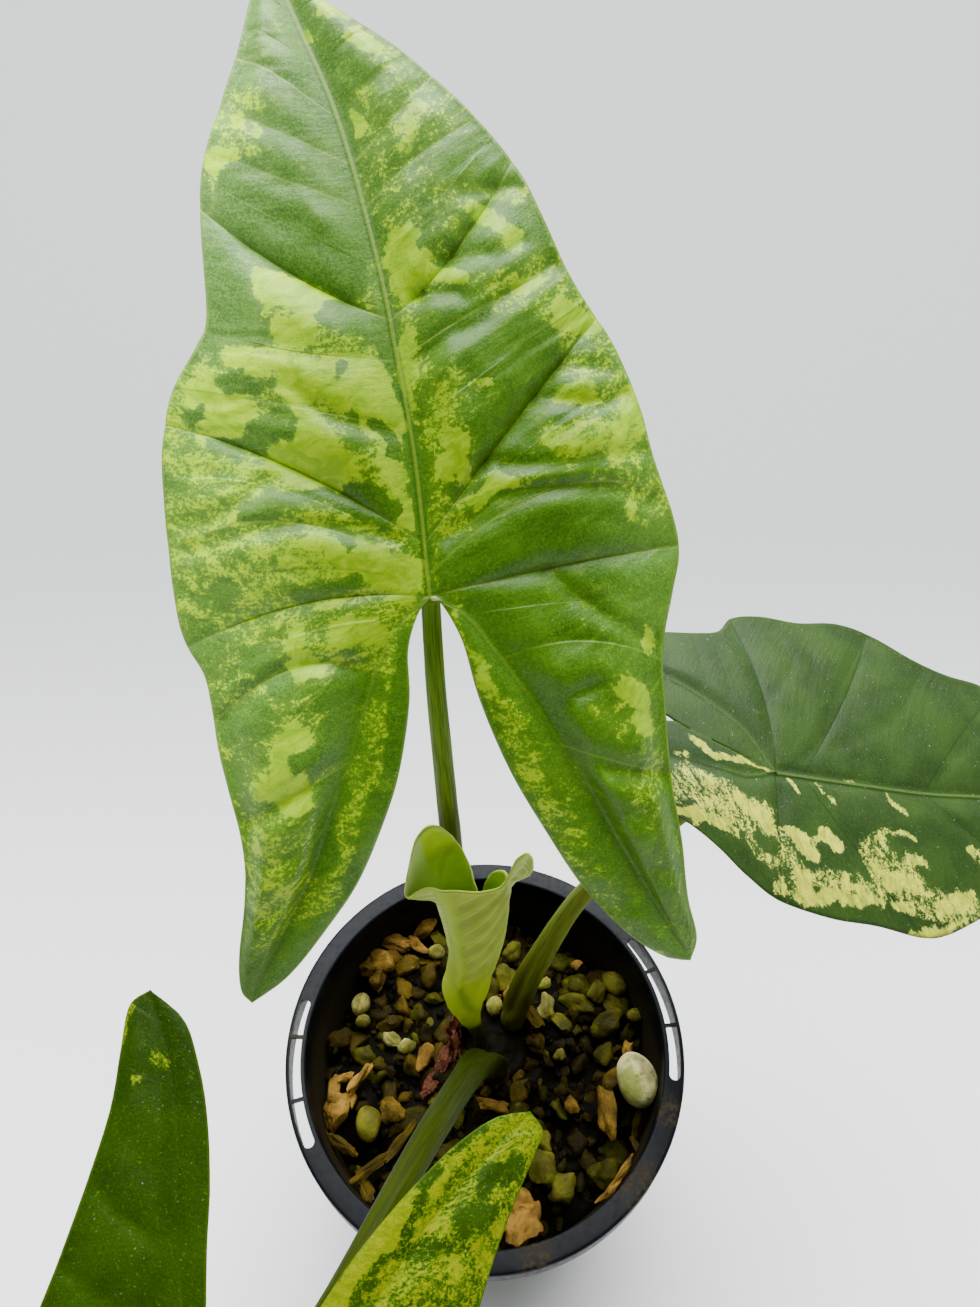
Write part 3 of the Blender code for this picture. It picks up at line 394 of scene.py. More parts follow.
TALL_LEAF = {
    "junction": (-7.2, 16.3, 155.8), "heading": -4, "climb": 43, "roll": 0,
    "tip_droop": 8, "lobe_droop": 8, "side_droop": 3, "length": 95, "lobe": 65, "half_width": 38,
    "quilt": 2.85,
    "midrib": ((0, 0), (-1, 21), (-2.8, 36.5), (-4.4, 48.5), (-7.6, 65), (-10.9, 77.6), (-15.8, 91),
        (-20, 103)),
    "left": {
        "margin": ((-20, 103), (-21.5, 97), (-24.2, 86), (-27.4, 77), (-30.4, 69), (-31.5, 61), (-31.2, 45),
            (-33, 40), (-37.5, 33), (-39.4, 25), (-39.6, 17), (-39.1, 2), (-38, -5), (-35.2, -11),
            (-34, -23), (-31.9, -37), (-32.4, -46), (-34.7, -57), (-35.1, -63), (-33.6, -65.5)),
        "lobe_vein": ((0, 0), (-4.8, -4), (-8.6, -10), (-11.6, -18), (-16.9, -32.4), (-21.8, -43.8),
            (-29.5, -57.5), (-33.6, -65.5)),
        "sinus": ((0, 0), (-2, -2.6), (-3.8, -8), (-4.1, -16), (-6.3, -26.6), (-9.2, -34.5), (-13.9, -44.2),
            (-19.3, -51.7), (-26.7, -60.4), (-33.6, -65.5)),
    },
    "right": {
        "margin": ((-20, 103), (-16, 97.5), (-10, 92), (-1, 85), (6.5, 78), (12.5, 71.5), (17.5, 64.5),
            (20.7, 57), (24.6, 47.5), (30.2, 38), (34, 28), (35.8, 20), (38.6, 11), (39.5, 5), (38, -1.5),
            (36, -10.5), (36.2, -22), (36.9, -32), (38.5, -42), (39.6, -52), (41.3, -59.5), (40.3, -64)),
        "lobe_vein": ((0, 0), (5.5, -3.2), (10.5, -10.2), (15.1, -17.2), (20.6, -27), (31.6, -48.3),
            (40.3, -64)),
        "sinus": ((0, 0), (1.6, -1), (4.5, -6.9), (6.7, -16.3), (10.8, -27.7), (16, -38), (22.2, -48.8),
            (29.6, -57.8), (36, -62.8), (40.3, -64)),
    },
    "veins": (
        (103, (103, 0, 0), (103, 0, 0)), (91, (95, 0.3, 0), (93, 0.3, 0)), (82, (89, 0.5, 0), (87.5, 0.4, 0)),
        (74, (84, 0.8, 0), (83, 0.5, 0)), (66.5, (76, 0.8, -0.5), (79.5, 0.8, -1)),
        (59.5, (70, 0.7, -1), (73, 0.7, 0)), (50, (65.5, 0.3, -1), (70, 0.2, -1)),
        (42.3, (61, 1, -2), (66, 1, -2.5)), (36, (42, 0.8, -1.5), (50, 0.8, 0)),
        (25, (34, 0.6, 0), (44, 0.4, 0)), (8, (28.5, 1, 2.3), (41.5, 1, 0.5)),
        (5.5, (20, 0.4, 4), (30, 0.4, 4)), (3, (9.5, 0.8, 6), (14, 0.8, 6.5)),
        (1.5, (1.5, 0.3, 4), (9.5, 0.3, 4)), (0, (-5.7, 1, 3), (5.8, 1, 0.7)),
        (-0.05, (-11, 0.3, 2.5), (-3, 0.3, 1)), (-0.16, (-17.4, 0.9, 4), (-12, 0.6, 3)),
        (-0.27, (-26, 0.3, 2), (-22, 0.3, 2)), (-0.38, (-34, 0.8, 0), (-30.5, 0.8, 0)),
        (-0.55, (-43, 0.4, 0), (-40, 0.5, 0)), (-0.7, (-51, 0.6, 0), (-48, 0.5, 0)),
        (-0.85, (-58.5, 0.3, 0), (-57, 0.3, 0)), (-0.95, (-63.6, 0.1, 0), (-62, 0.1, 0)),
        (-1, (-65.5, 0, 0), (-64, 0, 0)),
    ),
    "side_veins": (
        ((-3, 25), (-12, 27), (-17, 31), (-19, 33)), ((-23, 19), (-29, 15), (-37, 13)),
        ((-5, 9), (-16, 12), (-23, 11.5), (-31, 10), (-36, 9)),
        ((-10, -11), (-17, -9), (-24, -10), (-33, -17)), ((-14, -24), (-20, -28), (-27, -32), (-31, -34)),
        ((4, 51), (13, 51), (17, 53)), ((9, 61), (17, 62)), ((1, 45.5), (7, 45.5)),
        ((10, 20), (18, 19), (28, 20), (34, 21)), ((18, 29.5), (27, 28), (32, 29.5)), ((23, 34), (29, 33.5)),
        ((18, 3), (26, -4), (35, -9)), ((3, 9), (7, 11), (14, 15), (28, 15), (35, 13)),
        ((21, -27), (27, -29), (35, -30)), ((18, -22), (21, -17), (25, -15)),
        ((-1, 34), (5, 38.5), (11, 41), (15, 45), (22, 50)),
    ),
    "lime": TALL_LIME,
    "ground_lime": 0.16,
}
print("the tall leaf is", TALL_LEAF["midrib"][-1][1] - TALL_LEAF["left"]["lobe_vein"][-1][1], "mm long")

# %% [markdown]
# ## Patterns of the right and the front leaf
# The leaf at the right lies almost flat and is turned away, and the one at the front comes towards the
# viewer. Both are older: darker, flatter, and marked with cream or yellow on one half only. Their tips lie
# outside the picture, so the tips carry on from the curves that can be seen.

# %% Patterns of the right and the front leaf
RIGHT_LIME = (
    # mottled grounds of the lower half
    (4.6, -19.5, 10.4, -3.7, 4.2, 0.45), (14.8, -2.3, 21.5, 3.5, 3.6, 0.42), (21.8, 5.7, 22, 21, 3.2, 0.46),
    (14, 21.1, 20.8, 30.1, 3.8, 0.42), (22.8, 34.7, 23, 43.4, 3.6, 0.43),
    # clear cream
    (-4.4, -17.5, -2.6, -14, 0.8, 0.85), (-2.6, -14, -0.8, -7.7, 0.9, 0.9), (-0.7, -7.7, 0.8, -2.1, 0.5, 0.8),
    (-1.7, -21.6, -1, -19.2, 0.7, 0.7), (6.9, -7.2, 11.6, -1.6, 1.6, 0.86),
    (3.1, -16.8, 4.8, -13.4, 1.1, 0.62), (9.8, -21.4, 11.5, -15.4, 1, 0.85),
    (11.4, -14, 14, -10.6, 1.2, 0.75), (14.1, -11.3, 14.3, -7.8, 0.9, 0.62), (11.8, 2.4, 15.3, 5.6, 1.4, 1),
    (13.3, 5.6, 15.7, 7.8, 1.2, 0.9), (11.4, 10, 13.8, 12.2, 1.4, 0.95), (12.7, 7.8, 12.8, 10, 0.7, 0.8),
    (20, 4.9, 23.1, 5.7, 1, 0.9), (24.9, 5.7, 23.7, 21, 1.2, 0.8), (23.8, 0, 24.2, 5, 0.7, 0.65),
    (19.6, 13.6, 23.3, 14.7, 0.9, 0.72), (21.7, 18, 23.9, 21, 1, 0.72), (10.9, 21.2, 9.1, 29, 0.8, 0.55),
    (9, 27.5, 9.4, 29.8, 0.7, 0.8), (13.3, 28.8, 14.7, 33, 1.1, 0.85), (13.9, 29.1, 15.8, 30.2, 1, 0.85),
    (16, 21, 20.1, 25.5, 1.2, 0.66), (18.7, 25.5, 20.1, 30.1, 1.2, 0.75), (23.7, 25.5, 23.6, 28.9, 1, 0.8),
    (22.6, 36.2, 20.5, 42.7, 1.5, 0.72), (20.2, 39.5, 19.9, 41.9, 1, 0.9), (28.2, 30, 28.4, 37, 0.9, 0.85),
    (28.4, 37, 25.5, 41.7, 1, 0.85), (10.8, 44.1, 11.8, 46.5, 1, 0.8), (1.7, 2.3, 3.9, 4.4, 0.5, 0.7),
    (1.1, 9, 5.5, 13.2, 0.3, 0.72), (1.5, 25.7, 4.2, 29.4, 0.7, 0.7), (0.3, 15.8, 0.2, 18.1, 0.4, 0.75),
    # beyond the picture
    (11, 50, 13, 52, 1.6, 0.6), (16, 50, 20, 56, 2, 0.55), (8, 60, 11, 64, 1.4, 0.5),
    (12, 48, 18, 56, 3, 0.36),
    # green blotches on top
    (14.4, -3, 15.5, -1.2, 1.2, 0.14), (17.7, 7.8, 18, 10.7, 0.9, 0.16), (15.9, 31.8, 16.4, 33.3, 0.9, 0.12),
    (8.6, -20.1, 8.1, -18.1, 0.8, 0.14), (21.3, -0.7, 20.4, 2.1, 1, 0.18), (20.6, 15.8, 19.8, 17.3, 0.6, 0.2),
)
RIGHT_LEAF = {
    "junction": (60.6, 23.7, 94.4), "heading": 92, "climb": -12, "roll": 15,
    "tip_droop": 8, "lobe_droop": 4, "side_droop": 3, "length": 85, "lobe": 35, "half_width": 30,
    "quilt": 0.6,
    "midrib": ((0, 0), (-0.1, 18), (-0.6, 35), (-2.3, 50), (-3.5, 70), (-4, 86)),
    "left": {
        "margin": ((-4, 86), (-9, 82), (-17, 75), (-25, 66), (-30.5, 56), (-31.6, 46), (-34, 37.5),
            (-38.8, 27.5), (-40.2, 19), (-38.3, 9), (-38.3, 0), (-36.5, -7), (-32.3, -10.5), (-31, -16),
            (-30.2, -24), (-28.5, -32), (-24, -38)),
        "lobe_vein": ((0, 0), (-8, -6), (-12, -11), (-17, -19), (-21, -28), (-24, -38)),
        "sinus": ((0, 0), (-3, -8), (-7, -18), (-8.6, -21), (-12.5, -26.5), (-18, -34), (-24, -38)),
    },
    "right": {
        "margin": ((-4, 86), (1, 80), (9, 70), (17, 58), (23.5, 46.5), (28, 38), (29.2, 32), (28.2, 22),
            (27.9, 12), (25.8, 1), (21.8, -6), (17, -12), (12.9, -18), (9, -26), (4, -33), (-2, -38)),
        "lobe_vein": ((0, 0), (1.5, -6), (0.5, -12), (-0.5, -19), (-1.5, -28), (-2, -38)),
        "sinus": ((0, 0), (-3, -8), (-7, -18), (-8.6, -21), (-8, -27), (-6, -34), (-2, -38)),
    },
    "veins": (
        (86, (86, 0, 0), (86, 0, 0)), (74, (80, 0.4, 0), (79, 0.4, 0)), (60, (72, 0.6, 0), (71, 0.6, 0)),
        (48, (65, 0.5, 0), (66, 0.5, 0)), (34, (58, 0.9, -1), (60, 0.9, -1)),
        (22, (43, 0.5, 0), (46, 0.5, 0)), (6, (27, 1, 1), (32, 1, -1)), (2.5, (12, 0.4, 1), (15, 0.4, 1)),
        (0, (-7.5, 1, 2), (1, 1, 0)), (-0.18, (-12, 0.4, 0), (-7, 0.4, 0)),
        (-0.36, (-17, 0.6, 0), (-15, 0.6, 0)), (-0.55, (-24, 0.4, 0), (-22, 0.4, 0)),
        (-0.78, (-32, 0.4, 0), (-31, 0.4, 0)), (-1, (-38, 0, 0), (-38, 0, 0)),
    ),
    "side_veins": (
        ((-5, -1), (-15, -1.5), (-25, -4), (-31, -7)), ((-3, 6), (-10, 11), (-15, 13), (-23, 17), (-38, 26)),
        ((-3, 37), (-8, 41), (-16, 49), (-18, 51)), ((2, 10), (7, 14), (14, 19)), ((2, 1), (12, 1)),
        ((1, 32), (8, 47)), ((-32, 39.6), (-26.5, 35.8), (-16.4, 28.6), (-10.5, 19.5), (-7, 13.8)),
        ((-21.4, 18.9), (-21.6, 24.5), (-23.6, 30.5)), ((-31.5, 3), (-27.7, 5.7), (-22.8, 4.5), (-18, 0.3)),
        ((-31, 10), (-26.4, 11.5), (-23.6, 14), (-19, 12.6)),
    ),
    "lime": RIGHT_LIME,
    "ground_lime": 0,
}
FRONT_LIME = (
    # the half with yellow: a mottled ground, a clear strip along its inner margin, and flecks
    (-30, -56, -21, -20, 10, 0.42), (-21, -20, -20, 60, 9, 0.34), (-18.6, -45, -17, -41, 1.6, 1),
    (-17, -41, -13.6, -35, 2.5, 1), (-13.6, -35, -10.8, -28, 2, 1), (-10.8, -28, -6, -14, 2.3, 1),
    (-6, -14, -3, 0, 2, 1), (-23, -52, -20, -46, 0.9, 0.7), (-30, -58, -35, -58, 2.3, 0.54),
    (-27, -54, -32, -53, 2, 0.52), (-22, -47, -23, -48, 1.3, 0.8), (-22, -41, -24, -42, 1.5, 0.75),
    (-27, -37, -28, -35, 1.1, 0.8), (-33, -44, -34, -43, 1.1, 0.8), (-31, -40, -33, -38, 1.3, 0.6),
    (-19, -34, -17, -29, 1.3, 0.6), (-12, 10, -20, 30, 3, 0.9), (-6, 40, -14, 58, 3, 0.85),
    # green blotches on top
    (-24, -55, -25, -57, 1.5, 0.1), (-20, -47, -21, -49, 1.3, 0.1), (-20.4, -45, -17.4, -36.4, 0.8, 0.22),
    (-17.4, -36.4, -13.4, -29, 0.8, 0.22), (-13.4, -29, -11.5, -20, 1, 0.2), (-29, -49, -33, -53, 1.9, 0.08),
    (-28, -44, -31, -46, 2.1, 0.1), (-27, -40, -18, -37, 1.3, 0.24), (-26, -33, -32, -32, 2.9, 0.36),
    # a few flecks on the dark half
    (38, -59, 37, -54, 1, 0.5), (33, -49, 32, -49, 0.6, 0.6), (31, -54, 29, -53, 1, 0.35),
)
FRONT_LEAF = {
    "junction": (-41.2, -87.3, 70.2), "heading": 197.6, "climb": -22, "roll": -10,
    "tip_droop": 12, "lobe_droop": 4, "side_droop": 2, "length": 90, "lobe": 70, "half_width": 38,
    "quilt": 1.4,
    "midrib": ((0, 0), (0.3, 20), (0.2, 45), (-1, 70), (-3, 92)),
    "left": {
        "margin": ((-3, 92), (-7.5, 84), (-14.5, 71), (-21, 57), (-27, 43), (-32, 29), (-34.8, 14),
            (-34.8, 0), (-33.4, -14), (-33.4, -32), (-34.4, -44), (-36.3, -55), (-36.9, -59.5), (-34, -62)),
        "lobe_vein": ((0, 0), (-6.5, -9), (-11.5, -19), (-16.8, -29), (-22.6, -43), (-30, -56), (-34, -62)),
        "sinus": ((0, 0), (-3, -8), (-5.7, -17), (-8.5, -25.7), (-12, -34.8), (-17.2, -45), (-22.8, -53.7),
            (-28.4, -59.6), (-34, -62)),
    },
    "right": {
        "margin": ((-3, 92), (2.5, 84), (10.5, 71), (18.5, 57), (26, 43), (31.5, 29), (35, 14), (35.6, 0),
            (34.3, -14), (34.1, -29), (34.8, -43), (36.8, -52), (38.4, -59.5), (36, -63)),
        "lobe_vein": ((0, 0), (7, -9), (12.7, -20), (16.8, -28.5), (21.9, -42), (28, -53), (36, -63)),
        "sinus": ((0, 0), (3.2, -7), (6.2, -14), (8.9, -21), (11.7, -28.7), (14.6, -37.5), (18.8, -47),
            (23.4, -54.4), (28.5, -60.2), (36, -63)),
    },
    "veins": tuple((start, row, row) for start, row in (
        (92, (92, 0, 0)), (80, (86, 0.4, 0)), (66, (75, 0.7, 0)), (54, (65, 0.4, 0)), (42, (56, 0.9, -1)),
        (28, (43, 0.5, 0)), (8, (31, 1, 1)), (3.5, (13, 0.6, 4)), (0, (-3, 1, 2)), (-0.09, (-11, 0.3, 1.5)),
        (-0.22, (-20, 0.7, 2)), (-0.4, (-31, 0.5, 0)), (-0.58, (-41, 0.6, 0)), (-0.78, (-51, 0.4, 0)),
    )) + ((-0.93, (-59.5, 0.1, 0), (-60, 0.1, 0)), (-1, (-62, 0, 0), (-63, 0, 0))),
    "side_veins": (
        ((19, -28), (27, -30), (34, -34)), ((14, -18), (22, -18), (32, -20)),
        ((-10, 30), (-18, 36), (-26, 40)), ((10, 30), (18, 36), (25, 40)),
    ),
    "lime": FRONT_LIME,
    "ground_lime": 0,
}
print("right leaf", len(RIGHT_LEAF["veins"]), "rows, front leaf", len(FRONT_LEAF["veins"]), "rows")

# %% [markdown]
# ## From a flat pattern to a curved blade
# A blade is not a flat card. Its tip, lobes and sides droop, every vein lies in a furrow, and the skin
# between two veins is puffed up like a cushion. All of it can be written as one height above the flat
# pattern. The mesh follows the leaf: its rows run along the veins and crowd together beside them, so the
# creases stay crisp without a very dense mesh. Sculpting would reach the same look, but a formula can be
# tuned and repeated.

# %% From a flat pattern to a curved blade
def blade_form(leaf, x, y):
    """The large curve of a blade: its tip, its lobes and its sides droop."""
    return (-leaf["tip_droop"] * (np.maximum(y, 0) / leaf["length"]) ** 2
            - leaf["lobe_droop"] * (np.maximum(-y, 0) / leaf["lobe"]) ** 2
            - leaf["side_droop"] * (x / leaf["half_width"]) ** 2)


def leaf_matrix(leaf):
    """From a leaf's own frame to the plant's frame, in metres."""
    turn = (Matrix.Rotation(math.radians(-leaf["heading"]), 4, "Z")
            @ Matrix.Rotation(math.radians(leaf["climb"]), 4, "X")
            @ Matrix.Rotation(math.radians(leaf["roll"]), 4, "Y"))
    x, y, z = leaf["junction"]
    return Matrix.Translation(Vector((x, y, RIM_LEVEL + z)) * MM) @ turn


def row_ends(leaf, half, position):
    """Where rows leave the rib and meet the margin. Position 2.5 is half way from vein 2 to vein 3."""
    table = leaf["veins"]
    column = 1 if half == "left" else 2
    order = np.arange(len(table))
    lobe_tip = leaf[half]["lobe_vein"][-1][1]
    spine_y = np.interp(position, order, [row[0] if row[0] >= 0 else -row[0] * lobe_tip for row in table])
    margin_y = np.interp(position, order, [row[column][0] for row in table])
    bow = np.interp(position, order, [row[column][2] for row in table])
    spine_x = np.where(spine_y >= 0, x_at(leaf["midrib"], spine_y), x_at(leaf[half]["lobe_vein"], spine_y))
    margin_x = x_at(leaf[half]["margin"], margin_y)
    return np.stack((spine_x, spine_y), -1), np.stack((margin_x, margin_y), -1), bow


def points_on_rows(spine, margin, bow, share):
    """Places on each row at each share of the way from the rib to the margin."""
    place = spine[:, None] + (margin - spine)[:, None] * share[None, :, None]
    place[..., 1] += bow[:, None] * 4 * share * (1 - share)
    return place


def row_positions(leaf, half, spacing):
    """Rows for a fine mesh, crowded towards the veins."""
    count = len(leaf["veins"])
    spine, margin, _ = row_ends(leaf, half, np.arange(count))
    positions = []
    for k in range(count - 1):
        width = max(np.linalg.norm(margin[k + 1] - margin[k]), np.linalg.norm(spine[k + 1] - spine[k]))
        t = np.arange(max(4, round(width / spacing)))
        positions.append(k + 0.5 - 0.5 * np.cos(np.pi * t / len(t)))
    return np.concatenate(positions + [[count - 1.0]])


print("from the midrib to the margin a row bows by up to",
      max(row[1][2] for row in TALL_LEAF["veins"]), "mm")

# %% [markdown]
# ## Relief of a blade
# Between two veins the skin rises to a soft cushion. Its height depends on how far apart the veins are, and
# it starts and ends low at the rib and at the margin. On top of that come the side veins, fine ripples that
# run with the veins, shallow dents, and the midrib, a slim ridge in its own trough. Along the way the mesh
# notes a few facts for the finish to read later: how far each place is from a vein, from the rib and from
# the edge, and how much of the skin there is lime.

# %% Relief of a blade
QUILT_BASE = 2.6
SMALL_LIFT = 1.05
SMALL_GAP = 11.0
BIG_LIFT = 2.3
BIG_GAP = 26.0
FULL_ROW = 14.0
FULL_INNER = 8.0
INNER_LIFT = 0.3
SIDE_VEIN_DEPTH = 0.75
SIDE_VEIN_WIDTH = 1.5
RIPPLE_HEIGHT = 0.10
RIPPLE_SPACING = 2.3
RIB_HEIGHT = 0.34
RIB_WIDTH = 0.4
TROUGH_DEPTH = 0.5
TROUGH_WIDTH = 1.6


def cushion_relief(leaf, half, position, share, place):
    """Height of the cushions on the outer part of a half, and the distance to the nearest vein."""
    table = leaf["veins"]
    column = 1 if half == "left" else 2
    k = np.minimum(position.astype(int), len(table) - 2)
    u = (position - k)[:, None]
    lines = points_on_rows(*row_ends(leaf, half, np.arange(len(table))), share)
    gaps = np.linalg.norm(lines[1:] - lines[:-1], axis=-1)
    gap = gaps[k]
    length = np.linalg.norm(place[:, -1] - place[:, 0], axis=-1)[:, None]
    depth = np.array([row[column][1] for row in table])
    low = (1 - depth[k])[:, None] * (1 - u) + (1 - depth[k + 1])[:, None] * u
    nearest = np.where(u < 0.5, depth[k][:, None], depth[k + 1][:, None])
    crest = np.sin(np.pi * np.clip(u, 0, 1)) ** (1.6 - 0.9 * ease(0.75, 1.0, nearest))
    small = SMALL_LIFT * np.minimum(1.0, gap / SMALL_GAP) * (low + (1 - low) * crest)
    reach = np.vstack((np.zeros((1, len(share))), np.cumsum(gaps, axis=0)))
    main = [0] + [i for i, value in enumerate(depth) if value == 1] + [len(table) - 1]
    before = np.array([max(m for m in main if m <= i) for i in range(len(table) - 1)])[k]
    after = np.array([min(m for m in main if m > i) for i in range(len(table) - 1)])[k]
    big_gap = reach[after] - reach[before]
    rise = np.sin(np.pi * np.clip((reach[k] + u * gap - reach[before]) / big_gap, 0, 1)) ** 0.75
    big = BIG_LIFT * np.minimum(1.0, big_gap / BIG_GAP) * rise
    slope_share = 0.3 + 0.35 * ease(0.5, 0.8, place[:, :1, 1] / leaf["length"])
    fade_out = ease(0, slope_share, share) * (1 - 0.7 * ease(0.7, 1, share))
    lift = leaf["quilt"] / QUILT_BASE * (big + small) * np.minimum(1.0, length / FULL_ROW) * fade_out
    vein_mm = np.minimum(u, 1 - u) * gap
    strength = nearest + 0 * gap
    across = np.cumsum(np.vstack((np.zeros((1, len(share))), np.diff(position)[:, None] * gap[:-1])), axis=0)
    return lift, vein_mm, strength, across


def fine_relief(leaf, x, y, across, share, rib_mm, edge_mm, seed):
    """Side veins, ripples, dents and the ridge of the rib."""
    side_mm = distance_to_lines(x, y, leaf["side_veins"])
    scale = leaf["quilt"] / QUILT_BASE
    calm = ease(0, 5, rib_mm) * ease(0, 1.5, edge_mm)
    ripple = np.sin(2 * np.pi * (across / RIPPLE_SPACING + 0.5 * waves(x, y, 6.0, seed)))
    ripple *= RIPPLE_HEIGHT * scale ** 0.7 * ease(0.25, 0.7, share) * (0.6 + 0.4 * waves(x, y, 9.0, seed + 1))
    dents = 0.28 * waves(x, y, 6.5, seed + 2) + 0.12 * waves(x, y, 2.6, seed + 3)
    height = (ripple + dents * scale) * calm
    height -= SIDE_VEIN_DEPTH * scale * np.exp(-(side_mm / SIDE_VEIN_WIDTH) ** 2) * calm
    taper = np.where(y >= 0, 1 - 0.7 * ease(0, leaf["length"], y), 0.5 * (1 - ease(0, leaf["lobe"], -y)))
    height += taper * RIB_HEIGHT * np.exp(-(rib_mm / RIB_WIDTH) ** 2)
    height -= TROUGH_DEPTH * taper * np.exp(-(rib_mm / TROUGH_WIDTH) ** 2) * ease(0, 2, edge_mm)
    return height, side_mm


def lime_share(leaf, x, y, seed):
    """How much of the skin is lime. Patches are painted one over another, with wandering outlines."""
    wander_x = x + 1.1 * waves(x, y, 3.4, seed) + 0.5 * waves(x, y, 1.3, seed + 1)
    wander_y = y + 1.1 * waves(x, y, 3.4, seed + 2) + 0.5 * waves(x, y, 1.3, seed + 3)
    share = np.full(np.shape(x), leaf["ground_lime"])
    for ax, ay, bx, by, radius, amount in leaf["lime"]:
        run_x, run_y = bx - ax, by - ay
        along = ((wander_x - ax) * run_x + (wander_y - ay) * run_y) / max(run_x ** 2 + run_y ** 2, 0.01)
        along = np.clip(along, 0, 1)
        away = np.hypot(wander_x - ax - along * run_x, wander_y - ay - along * run_y)
        soft = 0.35 + 0.25 * radius
        cover = 1 - ease(-0.5 * soft, 0.5 * soft, away - radius)
        share = share + (amount - share) * cover
    return share


print("cushions are scaled by", TALL_LEAF["quilt"] / QUILT_BASE, "on the tall leaf and by",
      RIGHT_LEAF["quilt"] / QUILT_BASE, "on the right one")

# %% [markdown]
# ## Building a blade
# Each half is two sheets: one from the rib to the outer margin, and in the back lobes a narrow one from the
# lobe vein to the gap. The sheets share their border points, so merging them gives one skin. A Solidify
# modifier then turns the skin into a thin solid with a stout keel under the rib. The keel is guided by a
# weight on each point, as a sculptor would guide it with a mask. The underside gets its own, paler finish.
# The finished mesh is laid into its place on the plant, while the object stays at the origin. The finishes
# still need places measured from the leaf's own junction, so the mesh keeps those too.

# %% Building a blade
SKIN_THICKNESS = 0.45
KEEL_THICKNESS = 2.2
KEEL_WIDTH = 1.1
INNER_COLUMNS = 14
SEAM = 0.02


def note(mesh, name, values):
    """Keep a number, or a place of three numbers, on every point of a mesh, for a finish to read."""
    three = values.size == 3 * len(mesh.vertices)
    kind, field = ("FLOAT_VECTOR", "vector") if three else ("FLOAT", "value")
    mesh.attributes.new(name, kind, "POINT").data.foreach_set(field, values.ravel())


def grid_faces(index):
    """The four-sided faces of a grid of numbered points."""
    return np.stack((index[:-1, :-1], index[:-1, 1:], index[1:, 1:], index[1:, :-1]), -1).reshape(-1, 4)


def outer_sheet(leaf, half, spacing, columns):
    position = row_positions(leaf, half, spacing)
    share = np.linspace(0, 1, columns + 1) ** 1.25
    spine, margin, bow = row_ends(leaf, half, position)
    place = points_on_rows(spine, margin, bow, share)
    lift, vein_mm, strength, across = cushion_relief(leaf, half, position, share, place)
    length = np.linalg.norm(margin - spine, axis=-1)[:, None]
    facts = {"vein_mm": vein_mm, "strength": strength, "edge_mm": (1 - share) * length,
             "across": across, "along": share * length, "share": share + 0 * length}
    return place, lift, facts


def inner_sheet(leaf, half, spacing, columns):
    position = row_positions(leaf, half, spacing)
    spine, _, _ = row_ends(leaf, half, position)
    spine = spine[spine[:, 1] <= 0]
    edge = np.stack((x_at(leaf[half]["sinus"], spine[:, 1]), spine[:, 1]), -1)
    share = np.linspace(0, 1, columns + 1)
    place = points_on_rows(spine, edge, np.zeros(len(spine)), share)
    width = np.linalg.norm(edge - spine, axis=-1)[:, None]
    lift = INNER_LIFT * leaf["quilt"] * np.minimum(1, width / FULL_INNER) * np.sin(np.pi * share)
    far = np.full(place.shape[:2], 9.0)
    facts = {"vein_mm": far, "strength": 0 * far, "edge_mm": (1 - share) * width,
             "across": spine[:, 1:] + 0 * far, "along": share * width, "share": 0.5 * share + 0 * width}
    return place, lift, facts


def build_blade(name, leaf, spacing, columns, seed):
    """One blade, laid in its place on the plant, with its facts kept on the points."""
    places, lifts, facts, faces, start = [], [], [], [], 0
    for half in ("left", "right"):
        for sheet, wide in ((outer_sheet, columns), (inner_sheet, INNER_COLUMNS)):
            place, lift, fact = sheet(leaf, half, spacing, wide)
            rows, across = lift.shape
            index = start + np.arange(rows * across).reshape(rows, across)
            faces += grid_faces(index).tolist()
            start += rows * across
            places.append(place.reshape(-1, 2))
            lifts.append(lift.ravel())
            facts.append({key: value.ravel() for key, value in fact.items()})
    x, y = np.vstack(places).T
    lift = np.concatenate(lifts)
    fact = {key: np.concatenate([part[key] for part in facts]) for key in facts[0]}
    ribs = (leaf["midrib"], leaf["left"]["lobe_vein"], leaf["right"]["lobe_vein"])
    fact["rib_mm"] = distance_to_lines(x, y, ribs)
    fine, fact["side_mm"] = fine_relief(leaf, x, y, fact["across"], fact["share"], fact["rib_mm"],
                                        fact["edge_mm"], seed)
    fact["lime"] = lime_share(leaf, x, y, seed + 20)
    fact["rib_show"] = np.where(y >= 0, 1.0, 0.35 * (1 - ease(10, 0.5 * leaf["lobe"], -y)))
    z = blade_form(leaf, x, y) + lift + fine
    mesh = bpy.data.meshes.new(name)
    mesh.from_pydata(np.stack((x, y, z), -1) * MM, [], faces)
    for key in ("lime", "rib_mm", "rib_show", "edge_mm", "vein_mm", "side_mm", "strength"):
        note(mesh, key, fact[key])
    note(mesh, "grain_place", np.stack((fact["along"], fact["across"], 0 * x), -1))
    note(mesh, "leaf_place", np.stack((x, y, z), -1))
    shape = bmesh.new()
    shape.from_mesh(mesh)
    bmesh.ops.remove_doubles(shape, verts=shape.verts, dist=SEAM * MM)
    bmesh.ops.dissolve_degenerate(shape, edges=shape.edges, dist=0.5 * SEAM * MM)
    bmesh.ops.recalc_face_normals(shape, faces=shape.faces)
    if sum(face.normal.z for face in shape.faces) < 0:
        bmesh.ops.reverse_faces(shape, faces=shape.faces)
    shape.to_mesh(mesh)
    shape.free()
    mesh.transform(leaf_matrix(leaf))
    mesh.shade_smooth()
    blade = new_object(name, mesh)
    add_keel(blade, leaf)
    return blade


def thicken(sheet, thickness, offset):
    """Turn a sheet into a thin solid."""
    solid = sheet.modifiers.new("Thickness", "SOLIDIFY")
    solid.thickness = thickness * MM
    solid.offset = offset
    return solid


